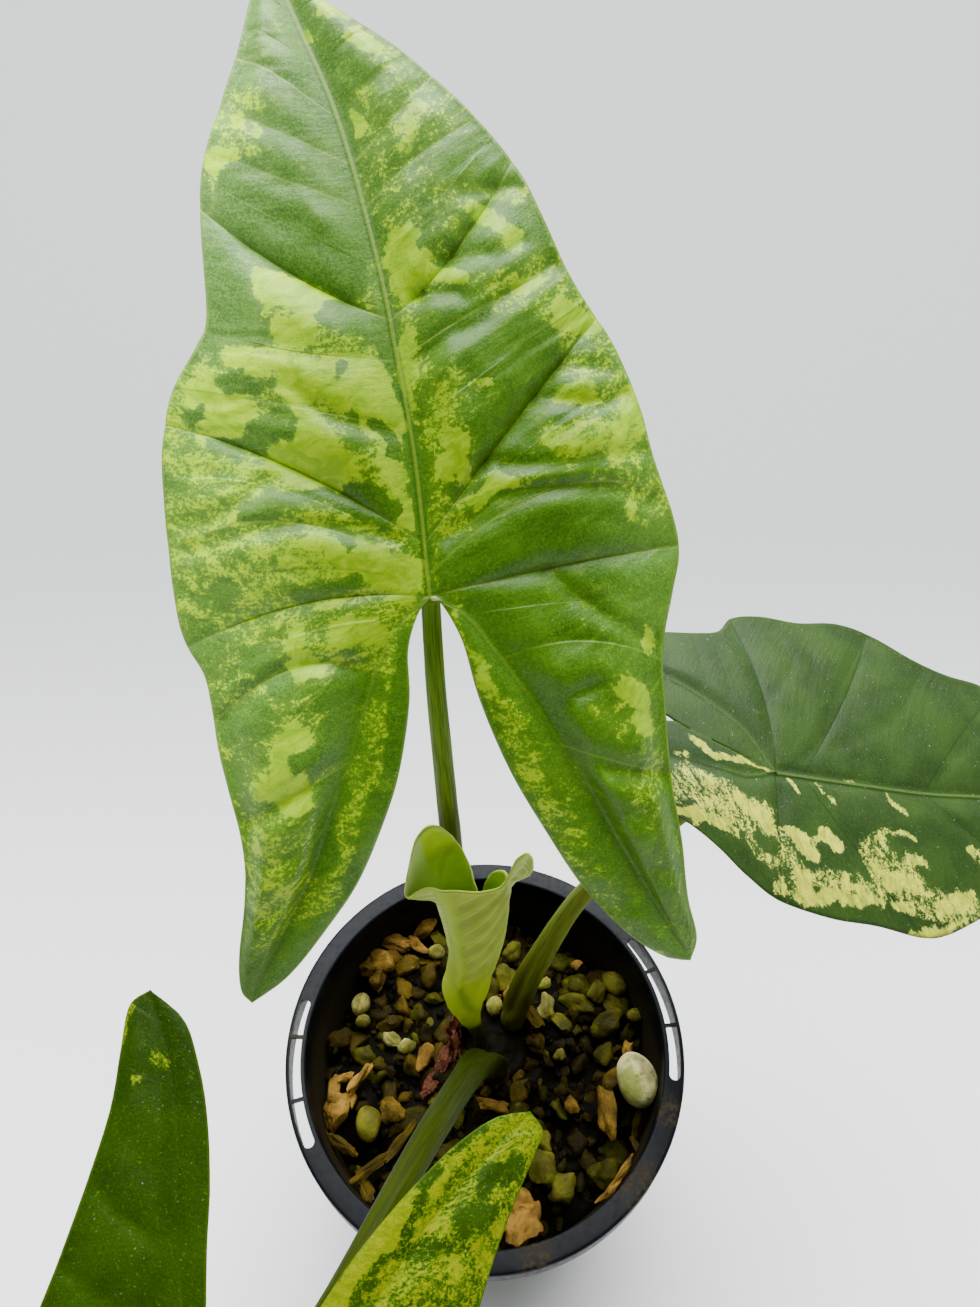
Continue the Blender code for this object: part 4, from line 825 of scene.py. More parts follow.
def add_keel(blade, leaf):
    """Give the skin its thickness: stout under the rib, thin elsewhere and at the notch over the stem."""
    count = len(blade.data.vertices)
    rib_mm, place = np.empty(count), np.empty(count * 3)
    blade.data.attributes["rib_mm"].data.foreach_get("value", rib_mm)
    blade.data.attributes["leaf_place"].data.foreach_get("vector", place)
    y = place[1::3]
    stout = np.where(y >= 0, 1 - 0.65 * ease(0, leaf["midrib"][-1][1], y), 0.6 * (1 + y / 80))
    from_notch = np.hypot(place[0::3], y + 0.8)
    weight = stout * np.exp(-(rib_mm / KEEL_WIDTH) ** 2) * ease(2.5, 10.0, from_notch)
    group = blade.vertex_groups.new(name="keel")
    for index in np.flatnonzero(weight > 0.01):
        group.add([int(index)], float(weight[index]), "REPLACE")
    solid = thicken(blade, KEEL_THICKNESS, -1)
    solid.vertex_group = "keel"
    solid.thickness_vertex_group = SKIN_THICKNESS / KEEL_THICKNESS
    solid.material_offset = 1


def with_modifiers(made):
    """An object as its modifiers leave it."""
    return made.evaluated_get(bpy.context.evaluated_depsgraph_get())


def count_triangles(made):
    """Triangles of an object with its modifiers."""
    mesh = with_modifiers(made).to_mesh()
    total = sum(len(face.vertices) - 2 for face in mesh.polygons)
    with_modifiers(made).to_mesh_clear()
    return total


print("a skin of", SKIN_THICKNESS, "mm with a keel of", KEEL_THICKNESS, "mm")

# %% [markdown]
# ## Finish of a blade
# The colour of a variegated leaf comes in three layers of cells: deep green, a fresher green and cells
# without green at all. Where only some cells lost it, the skin looks splashed. The mesh says how much of
# the skin is lime, and noise decides which specks are: the share works as a threshold, so 1 is a solid
# patch, 0.5 a dense speckle and 0 plain green. The noise is drawn out along the veins, like the cells of
# the leaf. A waxy skin is smooth but never a mirror, so the roughness is middling and wavers a little.

# %% Finish of a blade
PAINTED_SHEEN_GAIN = 1.85


def blade_finish(name, look):
    material = new_finish(name)
    place = reading("leaf_place", "Vector")
    along = reading("grain_place", "Vector")
    share = reading("lime")
    fine = grain(place, look["fleck"], 5.0, 0.72, 0.3)
    coarse = grain(stretch(along, look["streak"], 1.0), look["clump"], 4.0, 0.65, 0.8)
    speck = times(coarse, 0.42, times(fine, 0.58))
    speck = fade(speck, 0.36, 0.64)
    wanted = times(share, 1.45, -0.22)
    margin = sums("SUBTRACT", wanted, speck)
    lime_mask = fade(margin, -0.08, 0.10)
    clouds = grain(place, 11.0, 3.0)
    green = tint(fade(clouds, 0.35, 0.65), look["deep"], look["deep_warm"])
    green = tint(fade(margin, look["halo_from"], -0.05, 0.0, look["halo"]), green, look["fresh"])
    green = tint(fade(fine, 0.44, 0.62, 0.0, look["speckle"]), green, look["fresh"])
    cells = grain(place, 0.34, 2.0)
    green = tint(fade(cells, 0.46, 0.62, 0.0, 0.9 * look["speckle"]), green, look["fresh"])
    lime = tint(fade(coarse, 0.35, 0.65), look["lime"], look["lime_deep"])
    lime = tint(fade(cells, 0.40, 0.58, 0.3, 0.0), lime, look["lime_deep"])
    colour = tint(lime_mask, green, lime)
    line = fade(reading("vein_mm"), 0.05, 0.38, look["vein_show"], 0.0)
    line = times(line, fade(reading("strength"), 0.35, 0.9))
    colour = tint(line, colour, look["vein"])
    side = fade(reading("side_mm"), 0.05, 0.30, 0.6 * look["vein_show"], 0.0)
    colour = tint(side, colour, look["vein"])
    rib_mm = reading("rib_mm")
    show = reading("rib_show")
    # Deep green beside the rib: partly the leaf's own colour, partly painted shade in the rib's trough
    rib_flank_and_trough_shade = times(fade(rib_mm, 0.40, 0.95, 0.55, 0.0), show)
    colour = tint(rib_flank_and_trough_shade, colour, look["deep"])
    pale_line = times(fade(rib_mm, 0.12, 0.42, look["rib_show"], 0.0), show)
    colour = tint(pale_line, colour, look["rib"])
    rim = fade(reading("edge_mm"), 0.1, 0.5, 0.5, 0.0)
    colour = tint(rim, colour, look["margin"])
    # Painted sheen: brightens the tip and the sides, where the light falls strongest on the tall blade
    where = add_node("SeparateXYZ", {"Vector": place}).outputs
    sheen_saturation = fade(lime_mask, 0.0, 1.0, 0.88, 1.12)
    for axis, begin, full, amount, other_axis, gone, back in look["painted_sheen"]:
        painted_sheen = fade(where[axis], begin, full, 0.0, amount)
        painted_sheen = times(painted_sheen, fade(where[other_axis], gone, back))
        bright = add_node("HueSaturation", {"Saturation": sheen_saturation, "Value": PAINTED_SHEEN_GAIN, "Color": colour})
        colour = tint(painted_sheen, colour, bright.outputs["Color"])
    # Pale specks: real dust on the older blades, painted glints on the tall one
    dust_and_glints = fade(grain(place, 0.5, 2.0), 0.70, 0.78, 0.0, look["dust_and_glints"])
    colour = tint(dust_and_glints, colour, (205, 205, 190))
    roughness = times(fine, 0.10, times(clouds, 0.12, look["roughness"] - 0.06))
    pores = relief(grain(place, 0.45, 3.0), 0.06, 0.9)
    fibres = relief(grain(stretch(along, 0.16, 1.0), 0.9, 3.0), 0.10, 0.8, under=pores)
    return finished(material, colour, roughness, fibres, look["shine"])


def underside_finish(name, colour, vein):
    material = new_finish(name)
    place = reading("leaf_place", "Vector")
    clouds = grain(place, 7.0, 4.0)
    base = tint(fade(clouds, 0.3, 0.7, 0.0, 0.5), colour, vein)
    line = fade(reading("vein_mm"), 0.3, 1.0, 0.5, 0.0)
    line = times(line, reading("strength"))
    base = tint(line, base, vein)
    rib = fade(reading("rib_mm"), 0.6, 1.6, 0.8, 0.0)
    base = tint(rib, base, vein)
    return finished(material, base, times(clouds, 0.15, 0.55), relief(grain(place, 0.9, 3.0), 0.08, 0.6))


# A painted sheen brightens a side or the tip, where the light falls strongest. Each row: the axis it grows
# along, where it begins and where it is full, how strong it is, then the other axis, where it is gone and
# where it is back
TALL_LOOK = {
    "deep": (38, 80, 0), "deep_warm": (52, 94, 0), "fresh": (88, 128, 0),
    "lime": (146, 178, 0), "lime_deep": (112, 152, 0), "vein": (124, 152, 40),
    "vein_show": 0.3, "rib": (128, 156, 30), "rib_show": 0.45, "margin": (98, 132, 20),
    "dust_and_glints": 0.2, "roughness": 0.38, "shine": 0.22, "fleck": 0.54, "clump": 2.0, "streak": 0.6,
    "halo": 0.75, "halo_from": -0.45, "speckle": 0.4,
    "painted_sheen": (("Y", 16, 84, 0.9, "Y", 0, 20), ("X", -8, -33, 1, "Y", -50, -15),
              ("X", 20, 36, 0.5, "Y", -40, 10)),
}
RIGHT_LOOK = {
    "deep": (27, 52, 10), "deep_warm": (40, 67, 14), "fresh": (112, 134, 70),
    "lime": (206, 208, 62), "lime_deep": (150, 160, 36), "vein": (22, 44, 8),
    "vein_show": 0.5, "rib": (92, 120, 50), "rib_show": 0.5, "margin": (60, 84, 24),
    "dust_and_glints": 0.35, "roughness": 0.45, "shine": 0.17, "fleck": 0.52, "clump": 1.6, "streak": 0.5,
    "halo": 0.95, "halo_from": -0.24, "speckle": 0.05, "painted_sheen": (),
}
FRONT_LOOK = {
    "deep": (22, 44, 0), "deep_warm": (32, 56, 0), "fresh": (72, 100, 0),
    "lime": (120, 126, 0), "lime_deep": (90, 108, 0), "vein": (50, 78, 20),
    "vein_show": 0.25, "rib": (82, 108, 30), "rib_show": 0.5, "margin": (70, 92, 10),
    "dust_and_glints": 0.2, "roughness": 0.48, "shine": 0.06, "fleck": 0.52, "clump": 1.05, "streak": 0.75,
    "halo": 0.9, "halo_from": -0.45, "speckle": 0.1, "painted_sheen": (),
}
tall_top = blade_finish("blade_light", TALL_LOOK)
right_top = blade_finish("blade_dark", RIGHT_LOOK)
front_top = blade_finish("blade_front_dark", FRONT_LOOK)
light_under = underside_finish("blade_light_under", (108, 138, 62), (134, 160, 78))
dark_under = underside_finish("blade_dark_under", (92, 116, 76), (134, 150, 96))
print("blade finishes:", tall_top.name, right_top.name, front_top.name)

# %% [markdown]
# ## The three blades
# The tall blade is nearest to the lens, so it gets the closest rows. The blades ride on the plant's one
# body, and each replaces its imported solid.

# %% The three blades
BLADES = (
    ("blade_tall", TALL_LEAF, 0.67, 68, 11, tall_top, light_under, "blade_light"),
    ("blade_right", RIGHT_LEAF, 0.75, 44, 31, right_top, dark_under, "blade_dark"),
    ("blade_front", FRONT_LEAF, 0.9, 44, 51, front_top, dark_under, "blade_dark"),
)
for node, leaf, spacing, columns, seed, top, under, slot in BLADES:
    blade = build_blade(node + "_skin", leaf, spacing, columns, seed)
    blade.data.materials.append(top)
    blade.data.materials.append(under)
    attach(blade, "root")
    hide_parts(node)
    print(node, count_triangles(blade), "triangles")

# %% [markdown]
# ## Stems
# A stem is a tube that follows a given route and thins towards its blade. Its lower part is a sheath:
# the sides are drawn out into two lips with a groove between them that faces the crown, because the next
# leaf grew up inside it. A bent curve with a bevel could give the plain tube, but not the lips, so the
# rings are laid one by one. Fine ribs run along the whole stem, as the fibres do on the plant.

# %% Stems
CROWN_CENTRE = (2.0, 5.4)
CLEARANCE = 0.3
RIB_UNDER_BLADE = 2.3
STEM_SIDES = 44
STEM_STEP = 0.9
SHEATH_SHARE = 0.42
DOME_LENGTH = 1.3
STEMS = {
    "petiole_tall": {
        "leaf": TALL_LEAF, "end_radius": 1.55, "bend": (-1.2, -3.5),
        "route": ((-3.8, 10.5, -15.7), (-3.9, 10.6, -11), (-4.6, 11.4, 12), (-6.1, 13.4, 75),
            (-7.2, 15.4, 130)),
        "radius": (3.1, 3.2, 2.9, 2.3, 1.75),
        "low": (56, 44, 0), "high": (80, 112, 0), "streak": (36, 32, 0),
        "pale": (96, 110, 10), "brown_to": 0.35, "green_from": 0.95,
    },
    "petiole_right": {
        "leaf": RIGHT_LEAF, "end_radius": 1.5, "bend": (-2.2, -0.4),
        "route": ((8, 11.6, -15.7), (8.2, 11.8, -11), (13.7, 16.2, 12), (24.4, 21, 45), (42.5, 22, 80),
            (54.5, 23.2, 90.5)),
        "radius": (3.3, 3.4, 3.1, 2.4, 2, 1.7),
        # Painted light: these colours are lighter than the stem's own dark olive, for the shade it stands in
        "low": (80, 80, 20), "high": (96, 108, 32), "streak": (70, 78, 18),
        "pale": (104, 112, 44), "brown_to": 0.05, "green_from": 0.35,
    },
    "petiole_front": {
        "leaf": FRONT_LEAF, "end_radius": 1.6, "bend": (-3, -1.5),
        "route": ((2.4, -2.5, -15.7), (2.2, -2.9, -11), (-1.9, -10.5, 16), (-9.4, -35.5, 61),
            (-24.8, -65, 71), (-34.5, -77.5, 68.3)),
        "radius": (3.6, 3.8, 3.5, 2.9, 2.3, 2),
        # Painted shade: these colours are darker than the stem's own olive, for the light that falls on it
        "low": (34, 32, 2), "high": (44, 56, 2), "streak": (32, 38, 0),
        "pale": (62, 72, 14), "brown_to": 0.05, "green_from": 0.35,
    },
}


def stem_line(stem):
    """Places and radii along a stem, from its socket to the underside of its blade."""
    points = [(x, y, RIM_LEVEL + z, r) for (x, y, z), r in zip(stem["route"], stem["radius"])]
    under = RIB_UNDER_BLADE + CLEARANCE
    for shift, depth in (stem["bend"], (0.0, 0.0)):
        place = leaf_matrix(stem["leaf"]) @ (Vector((0, shift, depth - under)) * MM) / MM
        points.append((*place, stem["end_radius"]))
    return smooth_line(points, 24)


def build_stem(name, stem, seed):
    line = stem_line(stem)
    walked = np.concatenate(([0.0], np.cumsum(np.linalg.norm(np.diff(line[:, :3], axis=0), axis=1))))
    length = walked[-1]
    stations = np.append(np.linspace(0, length - DOME_LENGTH, round(length / STEM_STEP)),
                         length - DOME_LENGTH * np.array((0.7, 0.45, 0.25, 0.1, 0.0)))
    turn = np.arange(STEM_SIDES) * math.tau / STEM_SIDES
    off = np.abs((np.degrees(turn) + 180) % 360 - 180)
    rings = []
    for place in stations:
        centre, ahead, behind = (np.array([np.interp(p, walked, line[:, axis]) for axis in range(4)])
                                 for p in (place, place + 0.8, place - 0.8))
        forward = Vector((ahead - behind)[:3]).normalized()
        inward = Vector((CROWN_CENTRE[0] - centre[0], CROWN_CENTRE[1] - centre[1], 20.0))
        inward = (inward - forward * inward.dot(forward)).normalized()
        across = forward.cross(inward)
        sheath = ease(4.5, 10, place) * (1 - ease(0.15 * length, SHEATH_SHARE * length, place))
        lips = 0.26 * np.exp(-((off - 60) / 20) ** 2) - 0.30 * np.exp(-(off / 26) ** 2)
        fibres = 0.010 * np.cos(13 * turn + 0.02 * place) + 0.006 * np.cos(29 * turn - 0.03 * place)
        lump = 0.02 * waves(place + 9 * np.cos(turn), 9 * np.sin(turn), 7.0, seed)
        dome = math.sqrt(max(0.04, 1 - max(0.0, 1 - (length - place) / DOME_LENGTH) ** 2))
        r = centre[3] * dome * (1 + sheath * lips + fibres + lump)
        rings.append(centre[:3] + np.outer(r * np.cos(turn), inward) + np.outer(r * np.sin(turn), across))
    count = len(rings)
    index = np.arange(count * STEM_SIDES).reshape(count, STEM_SIDES)
    after = np.roll(index, -1, axis=1)
    faces = np.stack((index[:-1], after[:-1], after[1:], index[1:]), -1).reshape(-1, 4).tolist()
    faces += [index[0][::-1].tolist(), index[-1].tolist()]
    mesh = bpy.data.meshes.new(name)
    mesh.from_pydata(np.vstack(rings) * MM, [], faces)
    around = np.tile(np.stack((np.cos(turn), np.sin(turn)), -1), (count, 1))
    up = np.repeat(stations, STEM_SIDES)
    note(mesh, "up", up / length)
    note(mesh, "grain_place", np.column_stack((around * 3, up)))
    mesh.shade_smooth()
    mesh.validate()
    return new_object(name, mesh)


def stem_finish(name, look):
    """Green towards the blade, brown-olive towards the crown, with long streaks and small pale specks."""
    material = new_finish(name)
    place = reading("grain_place", "Vector")
    up = reading("up")
    streaks = grain(stretch(place, 1.0, 1.0, 0.05), 0.55, 3.0, 0.6)
    blotches = grain(stretch(place, 1.0, 1.0, 0.35), 2.4, 3.0, 0.6)
    height = times(blotches, 0.30, sums("SUBTRACT", up, 0.15))
    colour = tint(fade(height, look["brown_to"], look["green_from"]), look["low"], look["high"])
    colour = tint(fade(streaks, 0.40, 0.66, 0.0, 0.65), colour, look["streak"])
    pale = fade(grain(stretch(place, 1.0, 1.0, 0.12), 0.3, 2.0), 0.60, 0.75, 0.0, 0.35)
    colour = tint(pale, colour, look["pale"])
    return finished(material, colour, times(streaks, 0.2, 0.46), relief(streaks, 0.12, 0.8), 0.05)


for seed, (node, stem) in enumerate(STEMS.items()):
    made = build_stem(node + "_skin", stem, 70 + seed)
    made.data.materials.append(stem_finish("stem_" + node.split("_")[1], stem))
    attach(made, "root")
    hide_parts(node)
    print(node, count_triangles(made), "triangles")

# %% [markdown]
# ## The new leaf
# The youngest leaf is still rolled into a horn. Its sheet starts at the right, runs across the front to the
# left, round the back and once more inside. Two short tables describe it: what the roll is like at some
# heights, and how high its rim is at some angles round the roll. At the left back the rim rises into a
# spoon, and at the right it folds over. Every point of the sheet is a place in those tables, read with a
# smooth curve between the rows. The veins are then raised on the finished sheet, pushed out along its
# normals.

# %% The new leaf
# Height above the rim, middle x and y, radius, flatness front to back, where the free edge lies, how far it
# rolls
ROLL_STATIONS = (
    (-15.7, -1.2, 4, 1.8, 1, 80, 400), (-4, -1.4, 3.8, 1.9, 1, 80, 400), (6, -2.8, 3.3, 2.3, 1, 80, 400),
    (14, -4, 2.9, 3.1, 0.95, 80, 405), (26, -4.8, 2.6, 4.7, 0.9, 80, 415),
    (34, -4.4, 2.6, 5.7, 0.88, 80, 425), (42, -3.4, 2.6, 5.4, 0.85, 80, 440),
    (54, -1.9, 2.7, 5.8, 0.8, 78, 450), (67, -1.5, 3, 6.8, 0.72, 76, 455),
    (80, -1.8, 3.2, 7.6, 0.64, 78, 455), (90, -2, 3.3, 8.2, 0.58, 80, 455),
    (105, -2.2, 3.4, 8.6, 0.55, 80, 455),
)
# Angle travelled round the roll, height of the rim there, how far it is carried sideways and back
ROLL_RIM = (
    (0, 93.6, 3.6, 0.4), (4, 96.6, 3.5, 0.8), (9, 98.9, 3.1, 1), (15, 99.9, 2.6, 1), (21, 99.5, 2, 0.8),
    (27, 96.8, 1.4, 0.2), (33, 93.4, 0.9, 0), (40, 92.3, 0.6, -0.2), (60, 92, 0, -0.2), (85, 92.2, 0, 0),
    (115, 91.4, -0.6, 0), (138, 89.6, -1.8, -0.2), (150, 87, -3.4, -0.8), (157, 84.8, -4.8, -1.4),
    (164, 85, -5.4, -1), (171, 89, -4.4, 0), (181, 94.5, -3.2, 0.8), (196, 98.6, -2.4, 1.2),
    (210, 100.2, -1.6, 1.6), (224, 99, -1, 1.6), (234, 95.8, -0.2, 1.2), (243, 91.2, 0.2, 0.8),
    (249, 86.8, 0.2, 0.4), (253, 82, 0.2, 0.3), (257, 76, 0.1, 0.2), (266, 72.5, 0, 0), (276, 75, 0, 0.1),
    (285, 79.8, 0, 0.2), (296, 83.4, 0, 0.4), (308, 85, 0.2, 0.6), (326, 86.4, 0.3, 0.8),
    (346, 86.4, 0.4, 0.8), (364, 84.6, 0.2, 0.4), (385, 81, 0, 0), (455, 79, 0, 0),
)
ROLL_FLARE_FROM = 80.0
ROLL_GAP = 1.3
ROLL_THICKNESS = 0.5
ROLL_COLUMNS = 210
ROLL_ROWS = 130
FOLD_SPACING = 7.1


def read_table(table, column, at):
    """A smooth reading of one column of a table, by its first column."""
    knots, values = np.array(table, float)[:, 0], np.array(table, float)[:, column]
    slope = np.gradient(values, knots)
    k = np.clip(np.searchsorted(knots, at) - 1, 0, len(knots) - 2)
    h = knots[k + 1] - knots[k]
    t = np.clip((at - knots[k]) / h, 0, 1)
    low, high = 0.7 * slope[k] * h, 0.7 * slope[k + 1] * h
    return (values[k] * (1 + 2 * t) * (1 - t) ** 2 + low * t * (1 - t) ** 2
            + values[k + 1] * t * t * (3 - 2 * t) + high * t * t * (t - 1))


def roll_surface(column_share, row_share):
    round_rim = column_share * ROLL_STATIONS[-1][6]
    rim_z, shift_x, shift_y = (read_table(ROLL_RIM, n, round_rim) for n in (1, 2, 3))
    bottom = ROLL_STATIONS[0][0]
    z = bottom + (rim_z - bottom) * row_share
    x, y, radius, flat, start, turn = (read_table(ROLL_STATIONS, n, z) for n in range(1, 7))
    travelled = column_share * turn
    r = radius - ROLL_GAP * np.minimum(1, radius / 5) * ease(190, 350, travelled)
    a = np.radians(start - travelled)
    flare_from = ROLL_FLARE_FROM + 7 * ease(34, 20, travelled)
    early = 1 + 0.8 * ease(34, 20, travelled)
    flare = ease(0, 1, (z - flare_from) / np.maximum(rim_z - flare_from, 1) * early)
    place = np.stack((x + r * np.sin(a) + shift_x * flare, y - r * flat * np.cos(a) + shift_y * flare,
                      RIM_LEVEL + z), -1)
    return place, z, travelled, np.degrees(a), rim_z - z


columns, rows = np.meshgrid(np.linspace(0, 1, ROLL_COLUMNS + 1), np.linspace(0, 1, ROLL_ROWS + 1) ** 0.85)
place, z, travelled, facing, under_rim = roll_surface(columns, rows)
rise = 0.13 * (110 - travelled) + 0.0005 * (110 - travelled) ** 2
phase = (z - rise - 41) / FOLD_SPACING
to_vein = np.abs(phase - np.round(phase)) * FOLD_SPACING
on_panel = ease(106, 94, travelled) * ease(38, 48, z) * ease(0, 3, under_rim) * ease(0, 12, travelled)
panel_ribs = -0.75 * np.cos(np.pi * to_vein / FOLD_SPACING) ** 2 + 0.10 * np.cos(4 * np.pi * phase)
band = np.exp(-((travelled - 112 - 0.25 * (z - 75)) / 10) ** 2) * ease(36, 46, z)
stripes = ease(128, 134, travelled) * ease(190, 178, travelled) * ease(56, 68, z) * ease(0, 2, under_rim)
stripes = stripes * np.sin(1.5 * z + 0.20 * travelled) ** 2
tip_stripes = ease(32, 26, travelled) * ease(83, 87, z) * ease(0, 1, under_rim) * np.sin(2.4 * under_rim) ** 2
stripes = np.maximum(stripes, tip_stripes)
# Pale green on the left of the spoon's inside: a painted reflection of its glossy skin
fold_painted_sheen = ease(1.5, -1.5, travelled - 195 - 0.35 * (z - 88)) * ease(158, 162, travelled) * ease(76, 82, z)
crease = np.exp(-((travelled - 227 - 3.6 * (z - 90.8)) / 3) ** 2) * ease(80, 84, z) * ease(95, 91, z)
hem = np.exp(-(under_rim / 0.7) ** 2)
# The slit is a shallow groove; its darker green in the finish is painted shade
slit_and_shade = np.exp(-((facing + 3 + 3.2 * (z - 36.7)) / 14) ** 2) * ease(20, 31, z) * ease(47, 41, z)
raised = panel_ribs * on_panel + 0.45 * band - 0.25 * crease + 0.3 * hem - 0.15 * slit_and_shade + 0.05 * stripes
raised += 0.10 * waves(travelled * 0.1, z, 4.0, 91) * ease(0, 10, z)
index = np.arange(place[..., 0].size).reshape(place.shape[:2])
quads = np.stack((index[:-1, 1:], index[:-1, :-1], index[1:, :-1], index[1:, 1:]), -1).reshape(-1, 4).tolist()
mesh = bpy.data.meshes.new("new_leaf_skin")
mesh.from_pydata(place.reshape(-1, 3) * MM, [], quads)
mesh.update()
normal = np.empty(raised.size * 3)
mesh.vertices.foreach_get("normal", normal)
outward = place.reshape(-1, 3) + normal.reshape(-1, 3) * raised.reshape(-1, 1)
mesh.vertices.foreach_set("co", (outward * MM).ravel())
for key, values in (("height", z), ("travelled", travelled), ("to_vein", to_vein), ("on_panel", on_panel),
                    ("hem", hem), ("crease", crease), ("band", band), ("slit_and_shade", slit_and_shade), ("stripes", stripes),
                    ("fold_painted_sheen", fold_painted_sheen)):
    note(mesh, key, values)
mesh.shade_smooth()
new_leaf = new_object("new_leaf_skin", mesh)
thicken(new_leaf, ROLL_THICKNESS, -1).material_offset = 1
print("new leaf", count_triangles(new_leaf), "triangles")

# %% [markdown]
# ## Finish of the new leaf
# A leaf that has just left its sheath is pale and thin. The outside is its underside, so it is matte and
# greyer, with whitish veins. The inside, seen in the spoon, is fresh and bright. Near its foot it turns
# yellow-green and then olive, where the old sheath still holds it.

# %% Finish of the new leaf
def wash(colour, *coats):
    """Lay coats over a colour: the fact on the mesh that says where, how strong, and the coat's colour."""
    for fact, strength, coat in coats:
        colour = tint(times(reading(fact), strength), colour, coat)
    return colour


def new_leaf_outside():
    material = new_finish("new_leaf_outside")
    place = in_mm()
    clouds = grain(place, 5.0, 3.0)
    height = reading("height")
    colour = tint(fade(clouds, 0.35, 0.65), (122, 138, 32), (136, 152, 44))
    vein = fade(reading("to_vein"), 0.15, 0.55, 0.5, 0.0)
    vein = times(vein, reading("on_panel"))
    colour = tint(vein, colour, (164, 184, 100))
    colour = wash(colour, ("band", 0.7, (138, 162, 44)), ("stripes", 0.5, (186, 200, 132)))
    foot = fade(height, 58.0, 40.0)
    colour = tint(foot, colour, (130, 150, 0))
    sheath = fade(height, 15.0, 8.0)
    colour = tint(sheath, colour, (56, 52, 6))
    # The slit's darker green is painted shade in its groove
    colour = wash(colour, ("slit_and_shade", 0.8, (80, 112, 0)), ("hem", 0.8, (150, 170, 60)))
    return finished(material, colour, times(clouds, 0.15, 0.42), relief(grain(place, 0.5), 0.05, 0.6), 0.1)


def new_leaf_inside():
    material = new_finish("new_leaf_inside")
    place = in_mm()
    clouds = grain(place, 4.0, 3.0)
    colour = tint(fade(clouds, 0.35, 0.65), (146, 178, 0), (160, 190, 6))
    # Painted reflection: the glossy pale part of the spoon's inside
    colour = wash(colour, ("fold_painted_sheen", 0.9, (152, 178, 92)))
    right = fade(reading("travelled"), 60.0, 40.0, 0.0, 0.8)
    colour = tint(right, colour, (132, 156, 66))
    colour = wash(colour, ("crease", 0.5, (126, 154, 40)), ("hem", 0.8, (146, 170, 50)))
    return finished(material, colour, times(clouds, 0.12, 0.36), relief(grain(place, 0.5), 0.05, 0.6), 0.25)


new_leaf.data.materials.append(new_leaf_outside())
new_leaf.data.materials.append(new_leaf_inside())
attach(new_leaf, "root")
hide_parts("unfurling_leaf")
print("new leaf finishes:", [slot.name for slot in new_leaf.data.materials])

# %% [markdown]
# ## The pot
# A nursery pot is blown or pressed from thin black plastic. It is round, so one outline turned about the z
# axis gives all of it. The lip gets a real rounded edge, because that edge is what catches the light. The
# slots in the rim are cut with a Boolean modifier. They stand in two groups: the ends of a group are round,
# and thin dividers part the slots within it. The same modifier cuts the drain holes in the floor.

# %% The pot
RIM_RADIUS = 52.5
RIM_INNER_RADIUS = 47.2
RIM_PLATE = 1.2
SKIRT_THICKNESS = 0.9
SKIRT_DEPTH = 8.0
WALL = 1.2
WALL_TOP_RADIUS = 48.1
FOOT_RADIUS = 35.5
FLOOR_THICKNESS = 1.6
POT_STEPS = 180
SLOT_RADIUS = 49.95
SLOT_WIDTH = 2.9
SLOT_GROUPS = ((-11.0, 5.4, 23.2, 35.0), (166.0, 177.5, 196.0, 210.0))
SLOT_DIVIDER = 0.8
DRAIN_HOLES = 6
DRAIN_HOLE_RADIUS = 4.0
DRAIN_RING_RADIUS = 24.0


def rounded(corners, radius_of, steps=4):
    """A profile whose corners are rounded with small arcs."""
    points = [corners[0]]
    for k in range(1, len(corners) - 1):
        here = np.array(corners[k], float)
        before, after = np.array(corners[k - 1], float) - here, np.array(corners[k + 1], float) - here
        r = min(radius_of[k], 0.45 * np.linalg.norm(before), 0.45 * np.linalg.norm(after))
        if r <= 0:
            points.append(tuple(here))
            continue
        a, b = here + before / np.linalg.norm(before) * r, here + after / np.linalg.norm(after) * r
        for step in range(steps + 1):
            t = step / steps
            points.append(tuple(a * (1 - t) ** 2 + here * 2 * t * (1 - t) + b * t ** 2))
    return points + [corners[-1]]


def turned(name, profile, steps, centre=(0.0, 0.0)):
    """A profile of (radius, height) pairs turned about the z axis. Its ends lie on the axis."""
    angle = np.arange(steps) * math.tau / steps
    shape = bmesh.new()
    ends = [shape.verts.new((centre[0] * MM, centre[1] * MM, profile[k][1] * MM)) for k in (0, -1)]
    rings = []
    for radius, z in profile[1:-1]:
        rings.append([shape.verts.new(((centre[0] + radius * math.cos(a)) * MM,
                                       (centre[1] + radius * math.sin(a)) * MM, z * MM)) for a in angle])
    for k in range(steps):
        n = (k + 1) % steps
        shape.faces.new((ends[0], rings[0][k], rings[0][n]))
        shape.faces.new((ends[1], rings[-1][n], rings[-1][k]))
        for first, second in zip(rings, rings[1:]):
            shape.faces.new((first[k], second[k], second[n], first[n]))
    bmesh.ops.recalc_face_normals(shape, faces=shape.faces)
    return from_shape(name, shape)


def join_rings(shape, first, second):
    """A band of faces between two closed rings of points."""
    for k in range(len(first)):
        n = (k + 1) % len(first)
        shape.faces.new((first[k], second[k], second[n], first[n]))


def prism(shape, outline, low, high):
    """Add a straight-sided block with this outline to a mesh."""
    bottom = [shape.verts.new((x * MM, y * MM, low * MM)) for x, y in outline]
    top = [shape.verts.new((x * MM, y * MM, high * MM)) for x, y in outline]
    shape.faces.new(list(reversed(bottom)))
    shape.faces.new(top)
    for k in range(len(outline)):
        n = (k + 1) % len(outline)
        shape.faces.new((bottom[k], bottom[n], top[n], top[k]))


def on_circle(radius, angle, centre=(0.0, 0.0)):
    """The x and y of a place on a circle."""
    return centre[0] + radius * math.cos(angle), centre[1] + radius * math.sin(angle)


